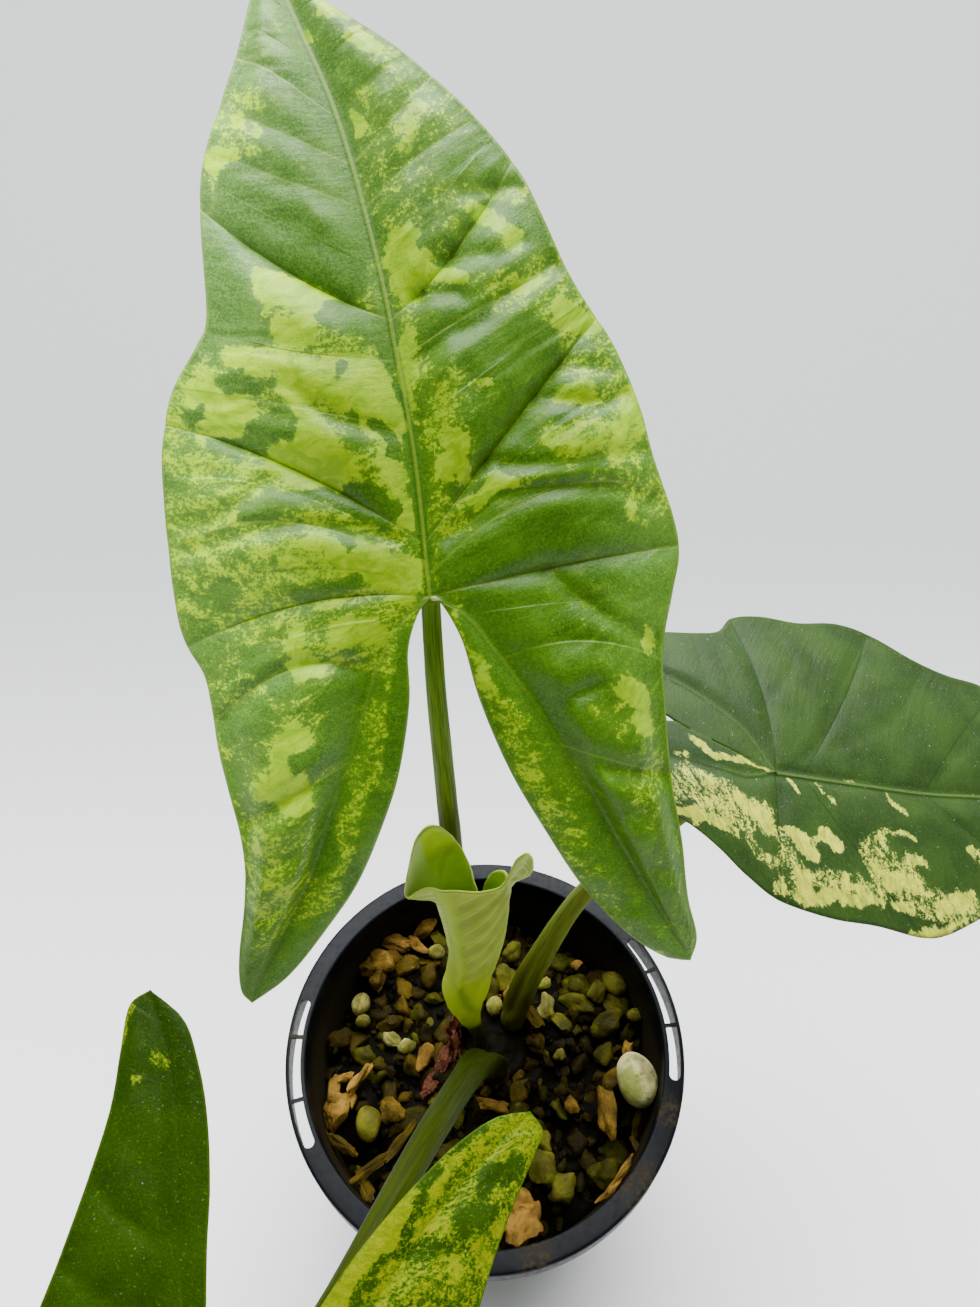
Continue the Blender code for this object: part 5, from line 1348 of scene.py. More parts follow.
def slot_outline(start, end, round_start, round_end):
    """One slot of a group. Its ends are round at the ends of the group and square at a divider."""
    half = SLOT_WIDTH / 2
    round_inset, square_inset = half / SLOT_RADIUS, SLOT_DIVIDER / 2 / SLOT_RADIUS
    low = math.radians(start) + (round_inset if round_start else square_inset)
    high = math.radians(end) - (round_inset if round_end else square_inset)
    arc = np.linspace(low, high, 14)
    outline = [on_circle(SLOT_RADIUS + half, a) for a in arc]
    inner = [on_circle(SLOT_RADIUS - half, a) for a in arc[::-1]]
    for angle, turn, is_round, side in ((high, 0.0, round_end, inner), (low, math.pi, round_start, [])):
        middle = on_circle(SLOT_RADIUS, angle)
        if is_round:
            outline += [on_circle(half, angle + turn + math.pi * k / 8, middle) for k in range(1, 8)]
        outline += side
    return outline


under_rim_z = RIM_LEVEL - RIM_PLATE
skirt_bottom = RIM_LEVEL - SKIRT_DEPTH
skirt_inner = RIM_RADIUS - SKIRT_THICKNESS
pot_corners = (
    (0, FLOOR_THICKNESS), (20, FLOOR_THICKNESS), (FOOT_RADIUS - WALL, FLOOR_THICKNESS),
    (WALL_TOP_RADIUS - WALL, skirt_bottom), (RIM_INNER_RADIUS, RIM_LEVEL), (RIM_RADIUS, RIM_LEVEL),
    (RIM_RADIUS, skirt_bottom), (skirt_inner, skirt_bottom), (skirt_inner, under_rim_z),
    (WALL_TOP_RADIUS + 0.2, under_rim_z), (WALL_TOP_RADIUS, skirt_bottom), (FOOT_RADIUS, 0), (20, 0), (0, 0),
)
corner_radius = (0, 0, 1.5, 3.0, 0.7, 0.9, 0.35, 0.35, 0.4, 0.4, 3.0, 1.0, 0, 0)
pot = turned("pot_shell", rounded(pot_corners, corner_radius), POT_STEPS)
cutter_shape = bmesh.new()
for ends in SLOT_GROUPS:
    for k in range(len(ends) - 1):
        outline = slot_outline(ends[k], ends[k + 1], k == 0, k == len(ends) - 2)
        prism(cutter_shape, outline, RIM_LEVEL - 4, RIM_LEVEL + 2)
for k in range(DRAIN_HOLES):
    middle = on_circle(DRAIN_RING_RADIUS, math.tau * (k + 0.5) / DRAIN_HOLES)
    circle = [on_circle(DRAIN_HOLE_RADIUS, a, middle) for a in np.linspace(0, math.tau, 33)[:-1]]
    prism(cutter_shape, circle, -2, FLOOR_THICKNESS + 2)
bmesh.ops.recalc_face_normals(cutter_shape, faces=cutter_shape.faces)
cutter = from_shape("pot_cutters", cutter_shape)
cut = pot.modifiers.new("Holes", "BOOLEAN")
cut.operation = "DIFFERENCE"
cut.solver = "EXACT"
cut.object = cutter
baked = bpy.data.meshes.new_from_object(with_modifiers(pot))
pot.modifiers.clear()
pot.data = baked
bpy.data.objects.remove(cutter, do_unlink=True)
pot.data.shade_smooth()
pot.data.set_sharp_from_angle(angle=math.radians(35))
print("pot", count_triangles(pot), "triangles")

# %% [markdown]
# ## Finish of the pot
# Black plastic is never black in a photograph: it is a dark blue grey with soft, wide highlights. Scuffs
# make it rougher in places, and where soil was spilled a tan film has dried on it. The film is given by a
# few places on the rim and on the wall, widened with noise. Inside, above the mix, the wall is grimy.

# %% Finish of the pot
def film_at(place, x, y, z, reach, noise):
    """How much dried soil lies round a place."""
    away = add_node("VectorMath", {0: place, 1: (x, y, z)}, operation="DISTANCE").outputs["Value"]
    away = times(noise, reach * 1.4, sums("SUBTRACT", away, reach * 0.7))
    return fade(away, 0.35 * reach, reach, 1.0, 0.0)


def pot_finish():
    material = new_finish("pot_black_plastic")
    place = in_mm()
    clouds = grain(place, 18.0, 4.0, 0.6)
    fine = grain(place, 1.4, 4.0, 0.7)
    colour = tint(fade(clouds, 0.3, 0.7), (8, 10, 14), (15, 18, 23))
    dirt = grain(place, 2.2, 5.0, 0.7)
    film = 0.0
    for x, y, reach in ((12, -49, 6), (37.6, -33.7, 8), (46.9, -17.2, 5), (-50, 2.5, 3)):
        film = sums("MAXIMUM", film_at(place, x, y, RIM_LEVEL, reach, dirt), film)
    speckle = fade(fine, 0.40, 0.62)
    dirty = times(film, speckle)
    colour = tint(times(dirty, 0.4), colour, (84, 72, 46))
    depth = add_node("SeparateXYZ", {"Vector": place}).outputs["Z"]
    slope = (WALL_TOP_RADIUS - FOOT_RADIUS) / skirt_bottom
    outer_wall = sums("MINIMUM", times(depth, slope, FOOT_RADIUS), WALL_TOP_RADIUS)
    from_axis = add_node("VectorMath", {0: stretch(place, 1.0, 1.0, 0.0)}, operation="LENGTH")
    inside = fade(sums("SUBTRACT", from_axis.outputs["Value"], outer_wall), -0.4, -0.8)
    grime = times(inside, fade(times(dirt, 8.0, depth), 90.0, 78.0))
    colour = tint(times(grime, 0.6), colour, (44, 36, 10))
    roughness = times(fade(fine, 0.4, 0.7), 0.14, 0.34)
    roughness = times(sums("MAXIMUM", dirty, grime), 0.35, roughness)
    pebbled = relief(fine, 0.05, 0.5)
    return finished(material, colour, roughness, relief(clouds, 0.5, 0.3, under=pebbled), 0.08)


pot.data.materials.append(pot_finish())
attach(pot, "root")
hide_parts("pot")
print("pot finish on", pot.name)

# %% [markdown]
# ## Shapes of chips
# Bark, pumice and pebbles all begin as a ball. Flat cuts turn it into a broken chip, soft waves make it
# uneven, and stretching makes it long or flat. The cuts are made by pushing every point that lies beyond a
# plane nearly back onto it, which keeps the mesh whole. Bark has coarse fibres along it, pumice has little
# pits. Particles would scatter copies of a few models, but here every chip is different and seen up close.

# %% Shapes of chips
def ball(subdivisions):
    """Points and triangles of an even ball of radius 1."""
    shape = bmesh.new()
    bmesh.ops.create_icosphere(shape, subdivisions=subdivisions, radius=1.0)
    points = np.array([corner.co[:] for corner in shape.verts])
    faces = np.array([[corner.index for corner in face.verts] for face in shape.faces])
    shape.free()
    return points, faces


BALLS = {level: ball(level) for level in (2, 3, 4)}


def soft_lumps(points, size, rng, layers=5):
    """Smooth random waves in space, between about -1 and 1."""
    total = np.zeros(len(points))
    for _ in range(layers):
        direction = rng.normal(size=3)
        direction *= math.tau / (size * np.linalg.norm(direction)) * rng.uniform(0.7, 1.4)
        total += np.sin(points @ direction + rng.uniform(0, math.tau))
    return total / math.sqrt(layers)


def chip_points(points, kind, size, rng):
    """One chip of a kind, in millimetres. Size is its full length, width and height."""
    chip = points.copy()
    cuts = {"bark": 9, "pumice": 6, "pebble": 0, "stone": 0, "fibre": 4}[kind]
    for _ in range(cuts):
        plane = rng.normal(size=3)
        plane /= np.linalg.norm(plane)
        beyond = chip @ plane - rng.uniform(0.52, 0.86)
        chip -= 0.92 * np.clip(beyond, 0, None)[:, None] * plane
    lumps = {"pebble": 0.05, "stone": 0.06}.get(kind, 0.17)
    chip *= 1 + lumps * soft_lumps(points, 1.3, rng)[:, None]
    if kind == "bark":
        chip *= 1 + 0.05 * soft_lumps(points * (0.35, 1, 1), 0.28, rng)[:, None]
        chip *= 1 - 0.10 * np.clip(soft_lumps(points, 0.6, rng), 0, 2)[:, None]
    if kind == "pumice":
        chip *= 1 - 0.06 * np.clip(soft_lumps(points, 0.35, rng), 0, 1)[:, None]
    if kind == "fibre":
        chip *= 1 + 0.12 * soft_lumps(points * (0.15, 1, 1), 0.4, rng)[:, None]
        chip[:, 2] += 0.35 * np.sin(2.4 * points[:, 0] + rng.uniform(0, 6))
    reach = np.abs(chip).max(axis=0)
    return chip / reach * np.array(size) / 2


def merge_chips(name, chips, material):
    """Join many chips into one object. Each keeps a tone of its own and its own grain direction."""
    corners, faces, tones, grains, start = [], [], [], [], 0
    for points, triangles, tone, own in chips:
        corners.append(points)
        faces.append(triangles + start)
        tones.append(np.full(len(points), tone))
        grains.append(own)
        start += len(points)
    mesh = bpy.data.meshes.new(name)
    mesh.from_pydata(np.vstack(corners) * MM, [], np.vstack(faces).tolist())
    note(mesh, "tone", np.concatenate(tones))
    note(mesh, "grain_place", np.vstack(grains))
    mesh.shade_smooth()
    mesh.set_sharp_from_angle(angle=math.radians(55))
    made = new_object(name, mesh)
    made.data.materials.append(material)
    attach(made, "root")
    return made


print("balls of", [len(points) for points, _ in BALLS.values()], "points")

# %% [markdown]
# ## Finishes of the mix
# Damp bark is brown to olive, darker in its hollows, and each chip has its own tone, so the tone comes from
# the mesh and only the mottling from noise. The pumice is pale, stained green and yellow by algae. Between
# the chips lies a nearly black crumb.

# %% Finishes of the mix
# The middle of the green spot on the white stone, and how far it reaches
MOSSY_SPOT = (38.0, -8.8, RIM_LEVEL - 6.6, 5.4)


def chip_finish(name, tones, stain, grain_size, roughness, stain_amount):
    material = new_finish(name)
    place = reading("grain_place", "Vector")
    world_place = in_mm()
    tone = reading("tone")
    fibres = grain(stretch(place, 0.3, 1.0, 1.0), grain_size, 4.0, 0.65, 0.4)
    mottle = grain(world_place, 2.6, 4.0, 0.6)
    ramp = add_node("ValToRGB", {"Fac": times(fibres, 0.36, times(tone, 0.8, -0.08))})
    stops = ramp.color_ramp.elements
    for _ in tones[2:]:
        stops.new(1.0)
    for k, colour in enumerate(tones):
        stops[k].position = k / (len(tones) - 1)
        stops[k].color = screen_colour(*colour)
    colour = tint(fade(mottle, 0.50, 0.70, 0.0, stain_amount), ramp.outputs["Color"], stain)
    damp = grain(world_place, 6.0, 3.0)
    colour = tint(fade(damp, 0.40, 0.62, 0.55, 0.0), colour, (7, 5, 1))
    moss = film_at(world_place, *MOSSY_SPOT, grain(world_place, 4.0, 2.0))
    colour = tint(times(moss, 0.75), colour, (92, 108, 20))
    wet_to_dry = fade(damp, 0.35, 0.65, roughness - 0.28, roughness)
    rough = relief(grain(world_place, 0.8, 4.0), 0.25, 0.8)
    return finished(material, colour, wet_to_dry, relief(fibres, 0.35, 0.8, under=rough), 0.04)


BARK_TONES = ((12, 9, 1), (40, 31, 4), (80, 64, 14),
              (160, 119, 53))
PUMICE_TONES = ((24, 23, 3), (58, 54, 8), (104, 100, 32),
                (220, 214, 148))
bark_finish = chip_finish("bark", BARK_TONES, (50, 52, 4), 0.7, 0.72, 0.6)
pumice_finish = chip_finish("pumice", PUMICE_TONES, (76, 84, 10), 1.4, 0.70, 0.7)
# Nearly black crumbs: dark soil, and painted shade for the deep gaps between the chips
crumbs_and_gap_shade_finish = chip_finish("dark_crumbs_and_gap_shade", ((3, 2, 1), (9, 7, 2),
                                           (34, 28, 6)), (16, 18, 3), 0.9, 0.85, 0.4)
print("mix finishes:", bark_finish.name, pumice_finish.name, crumbs_and_gap_shade_finish.name)

# %% [markdown]
# ## The bed and its chips
# The bed is a rough dark block that fills the pot, with a hole for the crown. The pieces that can be told
# apart in the pot are set one by one: place, size, direction and tone. The rest is scattered with a fixed
# seed, the largest first, and a piece that would cover much of another is tried elsewhere. A piece that
# would go through the wall is pressed flat against it. Crumbs fill the gaps last.

# %% The bed and its chips
MIX_LEVEL = RIM_LEVEL - 15.0
MIX_RADIUS = 46.0
CROWN_RADIUS = 13.0
BARE_CROWN = 8.5
BED_RINGS = 44
BED_STEPS = 132
BED_TONE = 0.3
MOST_TRIES = 20000
# Place x and y, how far it is raised, length, width, height, direction in degrees, tone from 0 to 1, kind
SET_CHIPS = (
    # a torn piece of bark with a hole in it, and what lies round it
    (-39.2, -13, 1, 12, 9, 5, 60, 0.92, "bark"), (-41, -7.6, 1.6, 9, 3.6, 3.6, 95, 0.88, "bark"),
    (-34.3, -5.2, 3, 11, 3.2, 3.2, 55, 0.98, "bark"), (-36, -9.6, 1.4, 8, 3.2, 3.4, 95, 0.9, "bark"),
    (-38.6, -4.4, 1.8, 8, 2.8, 3, 8, 0.92, "bark"), (-31, -16, 1, 9.5, 6.8, 6, 100, 0.62, "pebble"),
    (-25.2, -13, 0.4, 9, 7, 5, 130, 0.74, "bark"),
    # pale pebbles and chips at the left
    (-35.6, 15.8, 0.8, 6.6, 5.6, 5.4, 80, 0.76, "pebble"), (-34.6, 11.2, 0.5, 4.4, 4, 4, 0, 0.72, "pebble"),
    (-26.2, 5.8, 0.5, 6.4, 4.6, 4.2, 150, 0.76, "pumice"),
    (-21.8, 4.3, 0.5, 5.8, 4.8, 4.2, 40, 0.74, "pumice"), (-16.4, 1.6, 1.8, 10, 4.8, 4.4, 75, 0.97, "bark"),
    (-26.8, 10.8, 0, 9, 7, 5, 20, 0.42, "bark"), (-33.3, 2.3, -1, 9, 6, 4, 150, 0.30, "pumice"),
    (-40.5, 7, -1, 8, 6, 4, 30, 0.34, "bark"),
    # the tan heap at the upper left
    (-17.8, 38.5, 0.5, 9, 5.5, 5, 40, 0.82, "bark"), (-27, 34, 1, 11, 5.5, 5, 165, 0.92, "bark"),
    (-20.4, 33.6, 1.8, 8.6, 4.2, 4, 150, 0.96, "bark"), (-29, 29, 1.2, 10, 8, 6, 20, 0.88, "bark"),
    (-34, 26.5, 0.4, 8, 5.5, 5, 60, 0.74, "bark"), (-31, 23, 0.4, 9, 6.5, 5, 80, 0.76, "bark"),
    (-14.4, 31, 1.6, 5.4, 4.6, 4.2, 0, 0.74, "pebble"), (-23.2, 27, 0.8, 9, 6, 5, 20, 0.72, "bark"),
    (-16.8, 24.4, 0, 9, 6, 5, 70, 0.48, "bark"), (-24, 20.5, 0, 8, 6, 5, 120, 0.64, "bark"),
    # the white stone and the loose pieces at the right
    (40.6, -6.8, 5.2, 15, 11, 9, 100, 1, "stone"), (27, 27, 1.2, 4.4, 4, 3.6, 0, 1, "bark"),
    (37.4, 21.5, 0.8, 8.4, 6.2, 5, 140, 0.52, "pebble"), (42.6, 12.4, 0.6, 4.8, 4, 3.6, 0, 0.62, "pebble"),
    (17.3, 14.1, 1.6, 9, 5.8, 5, 100, 0.74, "pumice"), (17, 21.3, 1, 4.6, 4, 4, 0, 0.72, "pumice"),
    (27, 16.4, 0.6, 12, 7, 5, 160, 0.36, "pumice"), (34.4, 10.5, 0, 11, 7, 5, 20, 0.28, "pumice"),
    (31.6, 18.6, 0.8, 8, 6, 5, 60, 0.38, "pumice"), (21.8, 9.8, 0, 8, 6, 5, 120, 0.38, "pumice"),
    (32.4, -14.2, 1.6, 15, 6, 5, 95, 0.82, "bark"), (34.4, -5.6, 1.8, 9, 5, 4, 45, 0.74, "bark"),
    (39.2, 1.6, 3, 10, 3.6, 3.4, 75, 0.92, "bark"), (23.3, -12, 1, 6.4, 4.6, 4, 80, 0.86, "bark"),
    (40.4, -15.6, 0.6, 9, 2.4, 2.2, 70, 0.5, "fibre"), (40.2, -22.6, 0.6, 10, 2.4, 2.2, 110, 0.52, "fibre"),
    # below the front leaf
    (9.8, -39.2, 2.6, 13, 10, 8, 60, 1, "bark"), (7.6, -34.6, 2.4, 10, 8, 7, 120, 0.97, "bark"),
    (15.2, -27.2, 1.8, 11, 9, 8, 120, 0.6, "pumice"), (19.6, -31.3, 1.6, 9, 8, 7, 30, 0.66, "pumice"),
    (14.2, -21.6, 0.8, 8, 7, 6, 80, 0.54, "pumice"), (30.6, -28.6, 1.6, 10, 8, 6, 40, 0.22, "pumice"),
    (34.2, -29.6, 6, 9, 1.7, 1.5, 45, 0.8, "fibre"), (32.6, -31.6, 6, 10, 1.8, 1.5, 40, 0.82, "fibre"),
    (35.6, -27.4, 6, 8, 1.6, 1.5, 50, 0.92, "fibre"), (30.8, -33.4, 6.2, 9, 1.8, 1.6, 33, 0.95, "fibre"),
    (2.6, -11.8, 1.4, 11, 3.6, 3, 172, 0.92, "bark"), (9.4, -7.4, 0.4, 8, 6, 5, 40, 0.6, "bark"),
    # long dead roots at the lower left
    (-30.3, -27.4, 2, 17, 3.2, 3, 40, 0.6, "fibre"), (-22.4, -20.6, 2, 14, 3, 2.8, 52, 0.64, "fibre"),
    (-38.6, -20.6, 1.4, 13, 3.2, 3, 150, 0.64, "fibre"), (-30.5, -31, 1.4, 12, 3.6, 3.2, 115, 0.56, "fibre"),
    # round the stems
    (20.6, 1.7, 0.6, 4.2, 3.6, 3.2, 0, 0.7, "pumice"), (14, 5.8, 0.8, 9, 6, 5, 100, 0.46, "bark"),
    (6.6, 17.4, 2.6, 6.4, 3.2, 5, 90, 0.95, "bark"), (5.4, 22.6, 1.6, 9, 7, 6, 90, 0.54, "pumice"),
    (7.7, 31.2, 1, 7.6, 6, 5, 60, 0.5, "pumice"), (2.6, 14.6, 2.4, 6, 5, 5, 80, 0.74, "pebble"),
    (13.6, 11.6, 2.4, 8, 5, 5, 120, 0.5, "bark"), (10.4, 17.6, 2, 6, 4, 4.4, 30, 0.44, "bark"),
)
# Where the bed sinks into a deep gap: place x and y, reach, depth
PITS = ((8.5, 5, 4.5, 5), (-25.8, -8.6, 3.5, 4), (24, -4, 5, 4.5), (38, -21, 6, 5),
        (30, 1, 5, 4), (-43, 4, 5, 4), (12, 41, 8, 5), (25, 37, 8, 5),
        (18, -16, 4, 4), (-33, -24, 5, 4), (-40, 22, 5, 5), (40, -1, 4, 4))
FILL_CHIPS = 260
FILL_CRUMBS = 420


def inner_wall(z):
    """Radius of the inner wall of the pot at a height."""
    top, foot = WALL_TOP_RADIUS - WALL, FOOT_RADIUS - WALL
    share = (z - FLOOR_THICKNESS) / (RIM_LEVEL - SKIRT_DEPTH - FLOOR_THICKNESS)
    return np.minimum(top, foot + (top - foot) * share)


def place_chip(kind, spot, size, direction, tilt, tone, rng):
    """Turn a chip, set it down, and press it flat against the wall where it would go through."""
    points, faces = BALLS[2 if max(size) < 6.5 else 3 if max(size) < 11 else 4]
    own = chip_points(points, kind, size, rng)
    turn = Matrix.Rotation(math.radians(direction), 3, "Z")
    turn = turn @ Matrix.Rotation(rng.uniform(-tilt, tilt), 3, "X")
    turn = turn @ Matrix.Rotation(rng.uniform(-tilt, tilt), 3, "Y")
    placed = own @ np.array(turn).T + np.array(spot)
    from_axis = np.hypot(placed[:, 0], placed[:, 1])
    placed[:, :2] *= np.minimum(1, (inner_wall(placed[:, 2]) - 0.2) / from_axis)[:, None]
    return placed, faces, tone, own


def bed_height(x, y):
    from_crown = np.hypot(x - CROWN_CENTRE[0], y - CROWN_CENTRE[1])
    height = MIX_LEVEL - 2.0 + 1.0 * (1 - ease(12, 30, from_crown))
    height = height - 4.5 * ease(34, MIX_RADIUS, np.hypot(x, y))
    for pit_x, pit_y, reach, depth in PITS:
        height = height - depth * np.exp(-((x - pit_x) ** 2 + (y - pit_y) ** 2) / reach ** 2)
    return height + 1.6 * waves(x, y, 6.0, 401) + 0.8 * waves(x, y, 2.4, 402)


rng = np.random.default_rng(404)
chips = {"bark": [], "pumice": [], "small_bark": [], "small_pumice": [], "crumb": []}
taken = []
for x, y, raised, length, width, height, direction, tone, kind in SET_CHIPS:
    spot = (x, y, MIX_LEVEL - 1.4 + 0.22 * height + raised)
    family = "pumice" if kind in ("pumice", "pebble", "stone") else "bark"
    chips[family].append(place_chip(kind, spot, (length, width, height), direction, 0.2, tone, rng))
    taken.append((x, y, 0.25 * (length + width)))
tries = 0
filled = 0
while filled < FILL_CHIPS and tries < MOST_TRIES:
    tries += 1
    length = rng.uniform(4.5, 12.5) * (1 - 0.5 * filled / FILL_CHIPS)
    width = length * rng.uniform(0.55, 0.9)
    height = length * rng.uniform(0.4, 0.8)
    reach = 0.25 * (length + width)
    r = (MIX_RADIUS - 1.1 * reach) * math.sqrt(rng.uniform())
    x, y = on_circle(r, rng.uniform(0, math.tau))
    if math.hypot(x - CROWN_CENTRE[0], y - CROWN_CENTRE[1]) < BARE_CROWN:
        continue
    if any(math.hypot(x - px, y - py) < 0.55 * (reach + pr) for px, py, pr in taken):
        continue
    taken.append((x, y, reach))
    filled += 1
    kind = "bark" if rng.uniform() < 0.7 else "pumice"
    spot = (x, y, float(bed_height(x, y)) + rng.uniform(-0.2, 0.25) * height)
    dim = 0.5 if x > 12 or y < -14 else 1.0
    tone = rng.uniform(0.0, 0.66) * dim
    chips["small_" + kind].append(place_chip(kind, spot, (length, width, height), rng.uniform(0, 360), 0.4,
                                             tone, rng))
for _ in range(FILL_CRUMBS):
    size = rng.uniform(1.2, 3.4)
    r = (MIX_RADIUS - 0.6 * size) * math.sqrt(rng.uniform())
    x, y = on_circle(r, rng.uniform(0, math.tau))
    if math.hypot(x - CROWN_CENTRE[0], y - CROWN_CENTRE[1]) < CROWN_RADIUS:
        continue
    spot = (x, y, float(bed_height(x, y)) + rng.uniform(0.0, 0.4) * size)
    chips["crumb"].append(place_chip("bark", spot, (size, 0.7 * size, 0.6 * size), rng.uniform(0, 360), 0.4,
                                     rng.uniform(0, 1), rng))
loose = [merge_chips("bark_chips", chips["bark"], bark_finish),
         merge_chips("pumice_chips", chips["pumice"], pumice_finish),
         merge_chips("small_bark_chips", chips["small_bark"], bark_finish),
         merge_chips("small_pumice_chips", chips["small_pumice"], pumice_finish),
         merge_chips("crumbs", chips["crumb"], crumbs_and_gap_shade_finish)]
print("chips", filled + len(SET_CHIPS), "crumbs", len(chips["crumb"]))

ring_radii = np.linspace(CROWN_RADIUS - 0.4, MIX_RADIUS, BED_RINGS)
around = np.arange(BED_STEPS) * math.tau / BED_STEPS
bed = bmesh.new()
bed_rings = []
for share, radius in zip(np.linspace(0, 1, BED_RINGS), ring_radii):
    centre = np.array(CROWN_CENTRE) * (1 - share)
    x, y = centre[0] + radius * np.cos(around), centre[1] + radius * np.sin(around)
    z = bed_height(x, y)
    pressed = np.minimum(1, (inner_wall(z) - 0.2) / np.hypot(x, y))
    x, y = x * pressed, y * pressed
    bed_rings.append([bed.verts.new((a * MM, b * MM, c * MM)) for a, b, c in zip(x, y, z)])
BED_FOOT = (FOOT_RADIUS - WALL - 0.9, FLOOR_THICKNESS + 1.2)
for radius, z in ((inner_wall(MIX_LEVEL - 16) - 0.2, MIX_LEVEL - 16), BED_FOOT):
    bed_rings.append([bed.verts.new((radius * math.cos(a) * MM, radius * math.sin(a) * MM, z * MM))
                      for a in around])
for first, second in zip(bed_rings, bed_rings[1:]):
    join_rings(bed, first, second)
bed.faces.new(list(reversed(bed_rings[-1])))
CROWN_HOLE_FLOOR = RIM_LEVEL - 36.8
hole = [bed.verts.new((corner.co.x, corner.co.y, CROWN_HOLE_FLOOR * MM)) for corner in bed_rings[0]]
join_rings(bed, hole, bed_rings[0])
bed.faces.new(hole)
bmesh.ops.recalc_face_normals(bed, faces=bed.faces)
mix_bed = from_shape("mix_bed", bed)
places = np.empty(len(mix_bed.data.vertices) * 3)
mix_bed.data.vertices.foreach_get("co", places)
note(mix_bed.data, "tone", np.full(len(mix_bed.data.vertices), BED_TONE))
note(mix_bed.data, "grain_place", places / MM)
mix_bed.data.shade_smooth()
# The bed's nearly black colour is painted shade in the gaps between the chips
mix_bed.data.materials.append(crumbs_and_gap_shade_finish)
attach(mix_bed, "root")
for piece in [mix_bed] + loose:
    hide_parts("potting_mix")
    print(piece.name, count_triangles(piece), "triangles")

# %% [markdown]
# ## The crown
# All stems come from one short, thick stem that sits half in the mix. Its top is corky, with rings where
# old leaves stood. Round it stand the torn rests of old sheaths, thin as paper and reddish brown, most of
# them at the left, and a few dry strips lie on the mix beside them. The crown is turned like the pot and
# then roughened. The scraps are curved sheets with a torn upper edge, and the strips are made like the long
# fibres of the mix.

# %% The crown
CROWN_TOP = MIX_LEVEL + 0.6
CROWN_BOTTOM = RIM_LEVEL - 36.5
crown_outline = (
    (0, CROWN_TOP), (4, CROWN_TOP - 0.3), (8, CROWN_TOP - 1.4), (11, CROWN_TOP - 2.9),
    (12.2, CROWN_TOP - 4.6), (CROWN_RADIUS, CROWN_TOP - 7), (12.0, CROWN_TOP - 13), (12.4, CROWN_TOP - 14),
    (11.6, CROWN_TOP - 18), (8, CROWN_BOTTOM + 2.2), (4, CROWN_BOTTOM + 0.4), (0, CROWN_BOTTOM),
)
outline = smooth_line(crown_outline, 6)
crown = turned("crown_skin", [tuple(point) for point in outline], 120, CROWN_CENTRE)
count = len(crown.data.vertices)
places = np.empty(count * 3)
crown.data.vertices.foreach_get("co", places)
places = places.reshape(-1, 3) / MM
rings = 0.25 * np.sin(2.2 * np.hypot(places[:, 0] - CROWN_CENTRE[0], places[:, 1] - CROWN_CENTRE[1]))
height = rings + 0.5 * waves(places[:, 0], places[:, 1], 2.2, 501)
height += 0.25 * waves(places[:, 0], places[:, 1], 0.9, 502)
on_top = ease(CROWN_TOP - 8, CROWN_TOP - 4, places[:, 2])
places[:, 2] += (height - 0.7) * on_top
crown.data.vertices.foreach_set("co", (places * MM).ravel())
crown.data.shade_smooth()

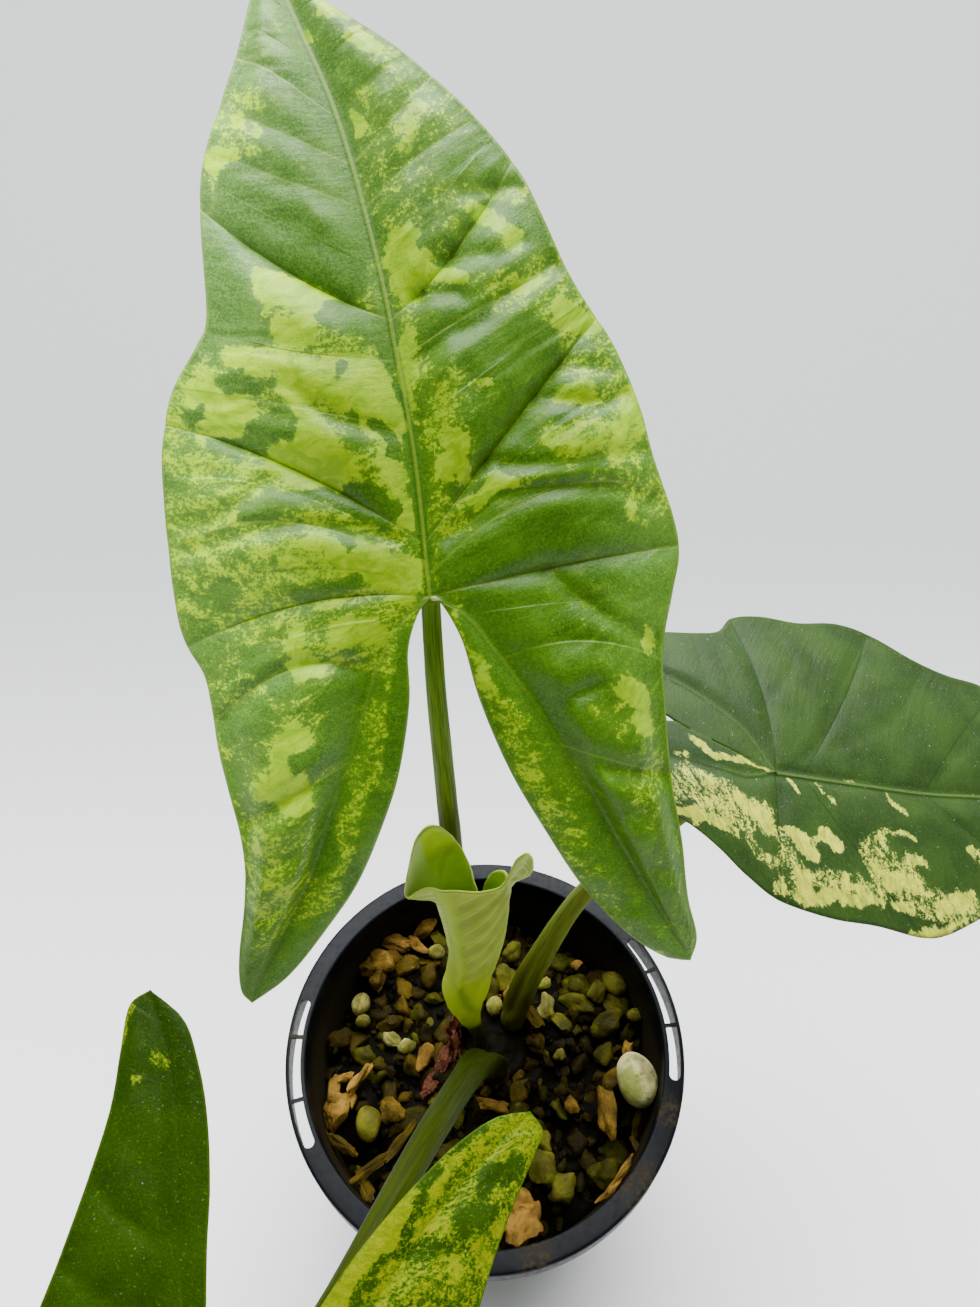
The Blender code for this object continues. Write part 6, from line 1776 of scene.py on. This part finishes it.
# from angle, to angle, radius, height, how far the top leans out, seed
SCRAPS = ((140, 240, 10.9, 7.5, 1.6, 511), (150, 215, 9.4, 6.5, -0.5, 512), (350, 390, 10.4, 4, 1, 513),
          (60, 100, 10.8, 3, 1.4, 514))
SCRAP_COLUMNS = 60
SCRAP_ROWS = 16
SCRAP_TONE = 0.5
SCRAP_THICKNESS = 0.25
scraps = []
for first, last, radius, tall, lean, seed in SCRAPS:
    u, v = np.meshgrid(np.linspace(0, 1, SCRAP_COLUMNS + 1), np.linspace(0, 1, SCRAP_ROWS + 1))
    tears = 0.75 + 0.45 * waves(u * 9, 0 * u, 1.0, seed) + 0.2 * waves(u * 30, 0 * u, 1.0, seed + 1)
    torn = np.sin(np.pi * u) ** 0.5 * tears
    a = np.radians(first + (last - first) * u)
    r = radius + lean * v ** 1.5 + 0.5 * waves(u * 6, v * 2, 1.0, seed + 2) + 0.12 * np.sin(70 * u)
    z = MIX_LEVEL - 1.0 + (tall * np.clip(torn, 0.12, 1.0) + 1.0) * v
    x, y = CROWN_CENTRE[0] + r * np.cos(a), CROWN_CENTRE[1] + r * np.sin(a)
    points = np.stack((x, y, z), -1).reshape(-1, 3)
    index = np.arange(len(points)).reshape(u.shape)
    scraps.append((points, grid_faces(index), SCRAP_TONE, np.stack((v * 4, a * 9, 0 * a), -1).reshape(-1, 3)))


def crown_finish(name, low, high, pale, roughness):
    material = new_finish(name)
    place = in_mm()
    clouds = grain(place, 3.0, 5.0, 0.65)
    fine = grain(stretch(place, 1.0, 1.0, 0.25), 0.6, 4.0, 0.6)
    colour = tint(fade(clouds, 0.35, 0.68), low, high)
    colour = tint(fade(fine, 0.50, 0.75, 0.0, 0.7), colour, pale)
    rough = relief(clouds, 0.5, 0.7)
    bumps = relief(fine, 0.2, 0.8, under=rough)
    return finished(material, colour, times(fine, 0.2, roughness - 0.1), bumps, 0.08)


# Nearly black cork: its own dark brown, and painted shade, for the crown sits deep among the stems
crown.data.materials.append(crown_finish("crown_cork_and_shade", (5, 4, 1), (13, 10, 2),
                                         (30, 24, 7), 0.8))
dry_sheath = crown_finish("dry_sheath", (44, 17, 8), (80, 40, 20),
                          (122, 80, 48), 0.6)
scrap_skin = merge_chips("sheath_scraps", scraps, dry_sheath)
# Strips of the old sheath that lie on the mix: place x and y, raised, length, width, height, direction
STRIPS = ((-11, 0, 2.4, 12, 5, 2.6, 62), (-14.6, -6, 2.2, 11, 4.4, 2.2, 56), (-9, 4.8, 2.6, 8, 3.6, 2.4, 80))
strip_chips = []
for x, y, raised, length, width, height, direction in STRIPS:
    spot = (x, y, MIX_LEVEL - 1.0 + raised)
    strip_chips.append(place_chip("fibre", spot, (length, width, height), direction, 0.15, SCRAP_TONE, rng))
strips = merge_chips("sheath_strips", strip_chips, dry_sheath)
thicken(scrap_skin, SCRAP_THICKNESS, 0)
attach(crown, "root")
for piece in (crown, scrap_skin, strips):
    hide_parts("corm")
    print(piece.name, count_triangles(piece), "triangles")
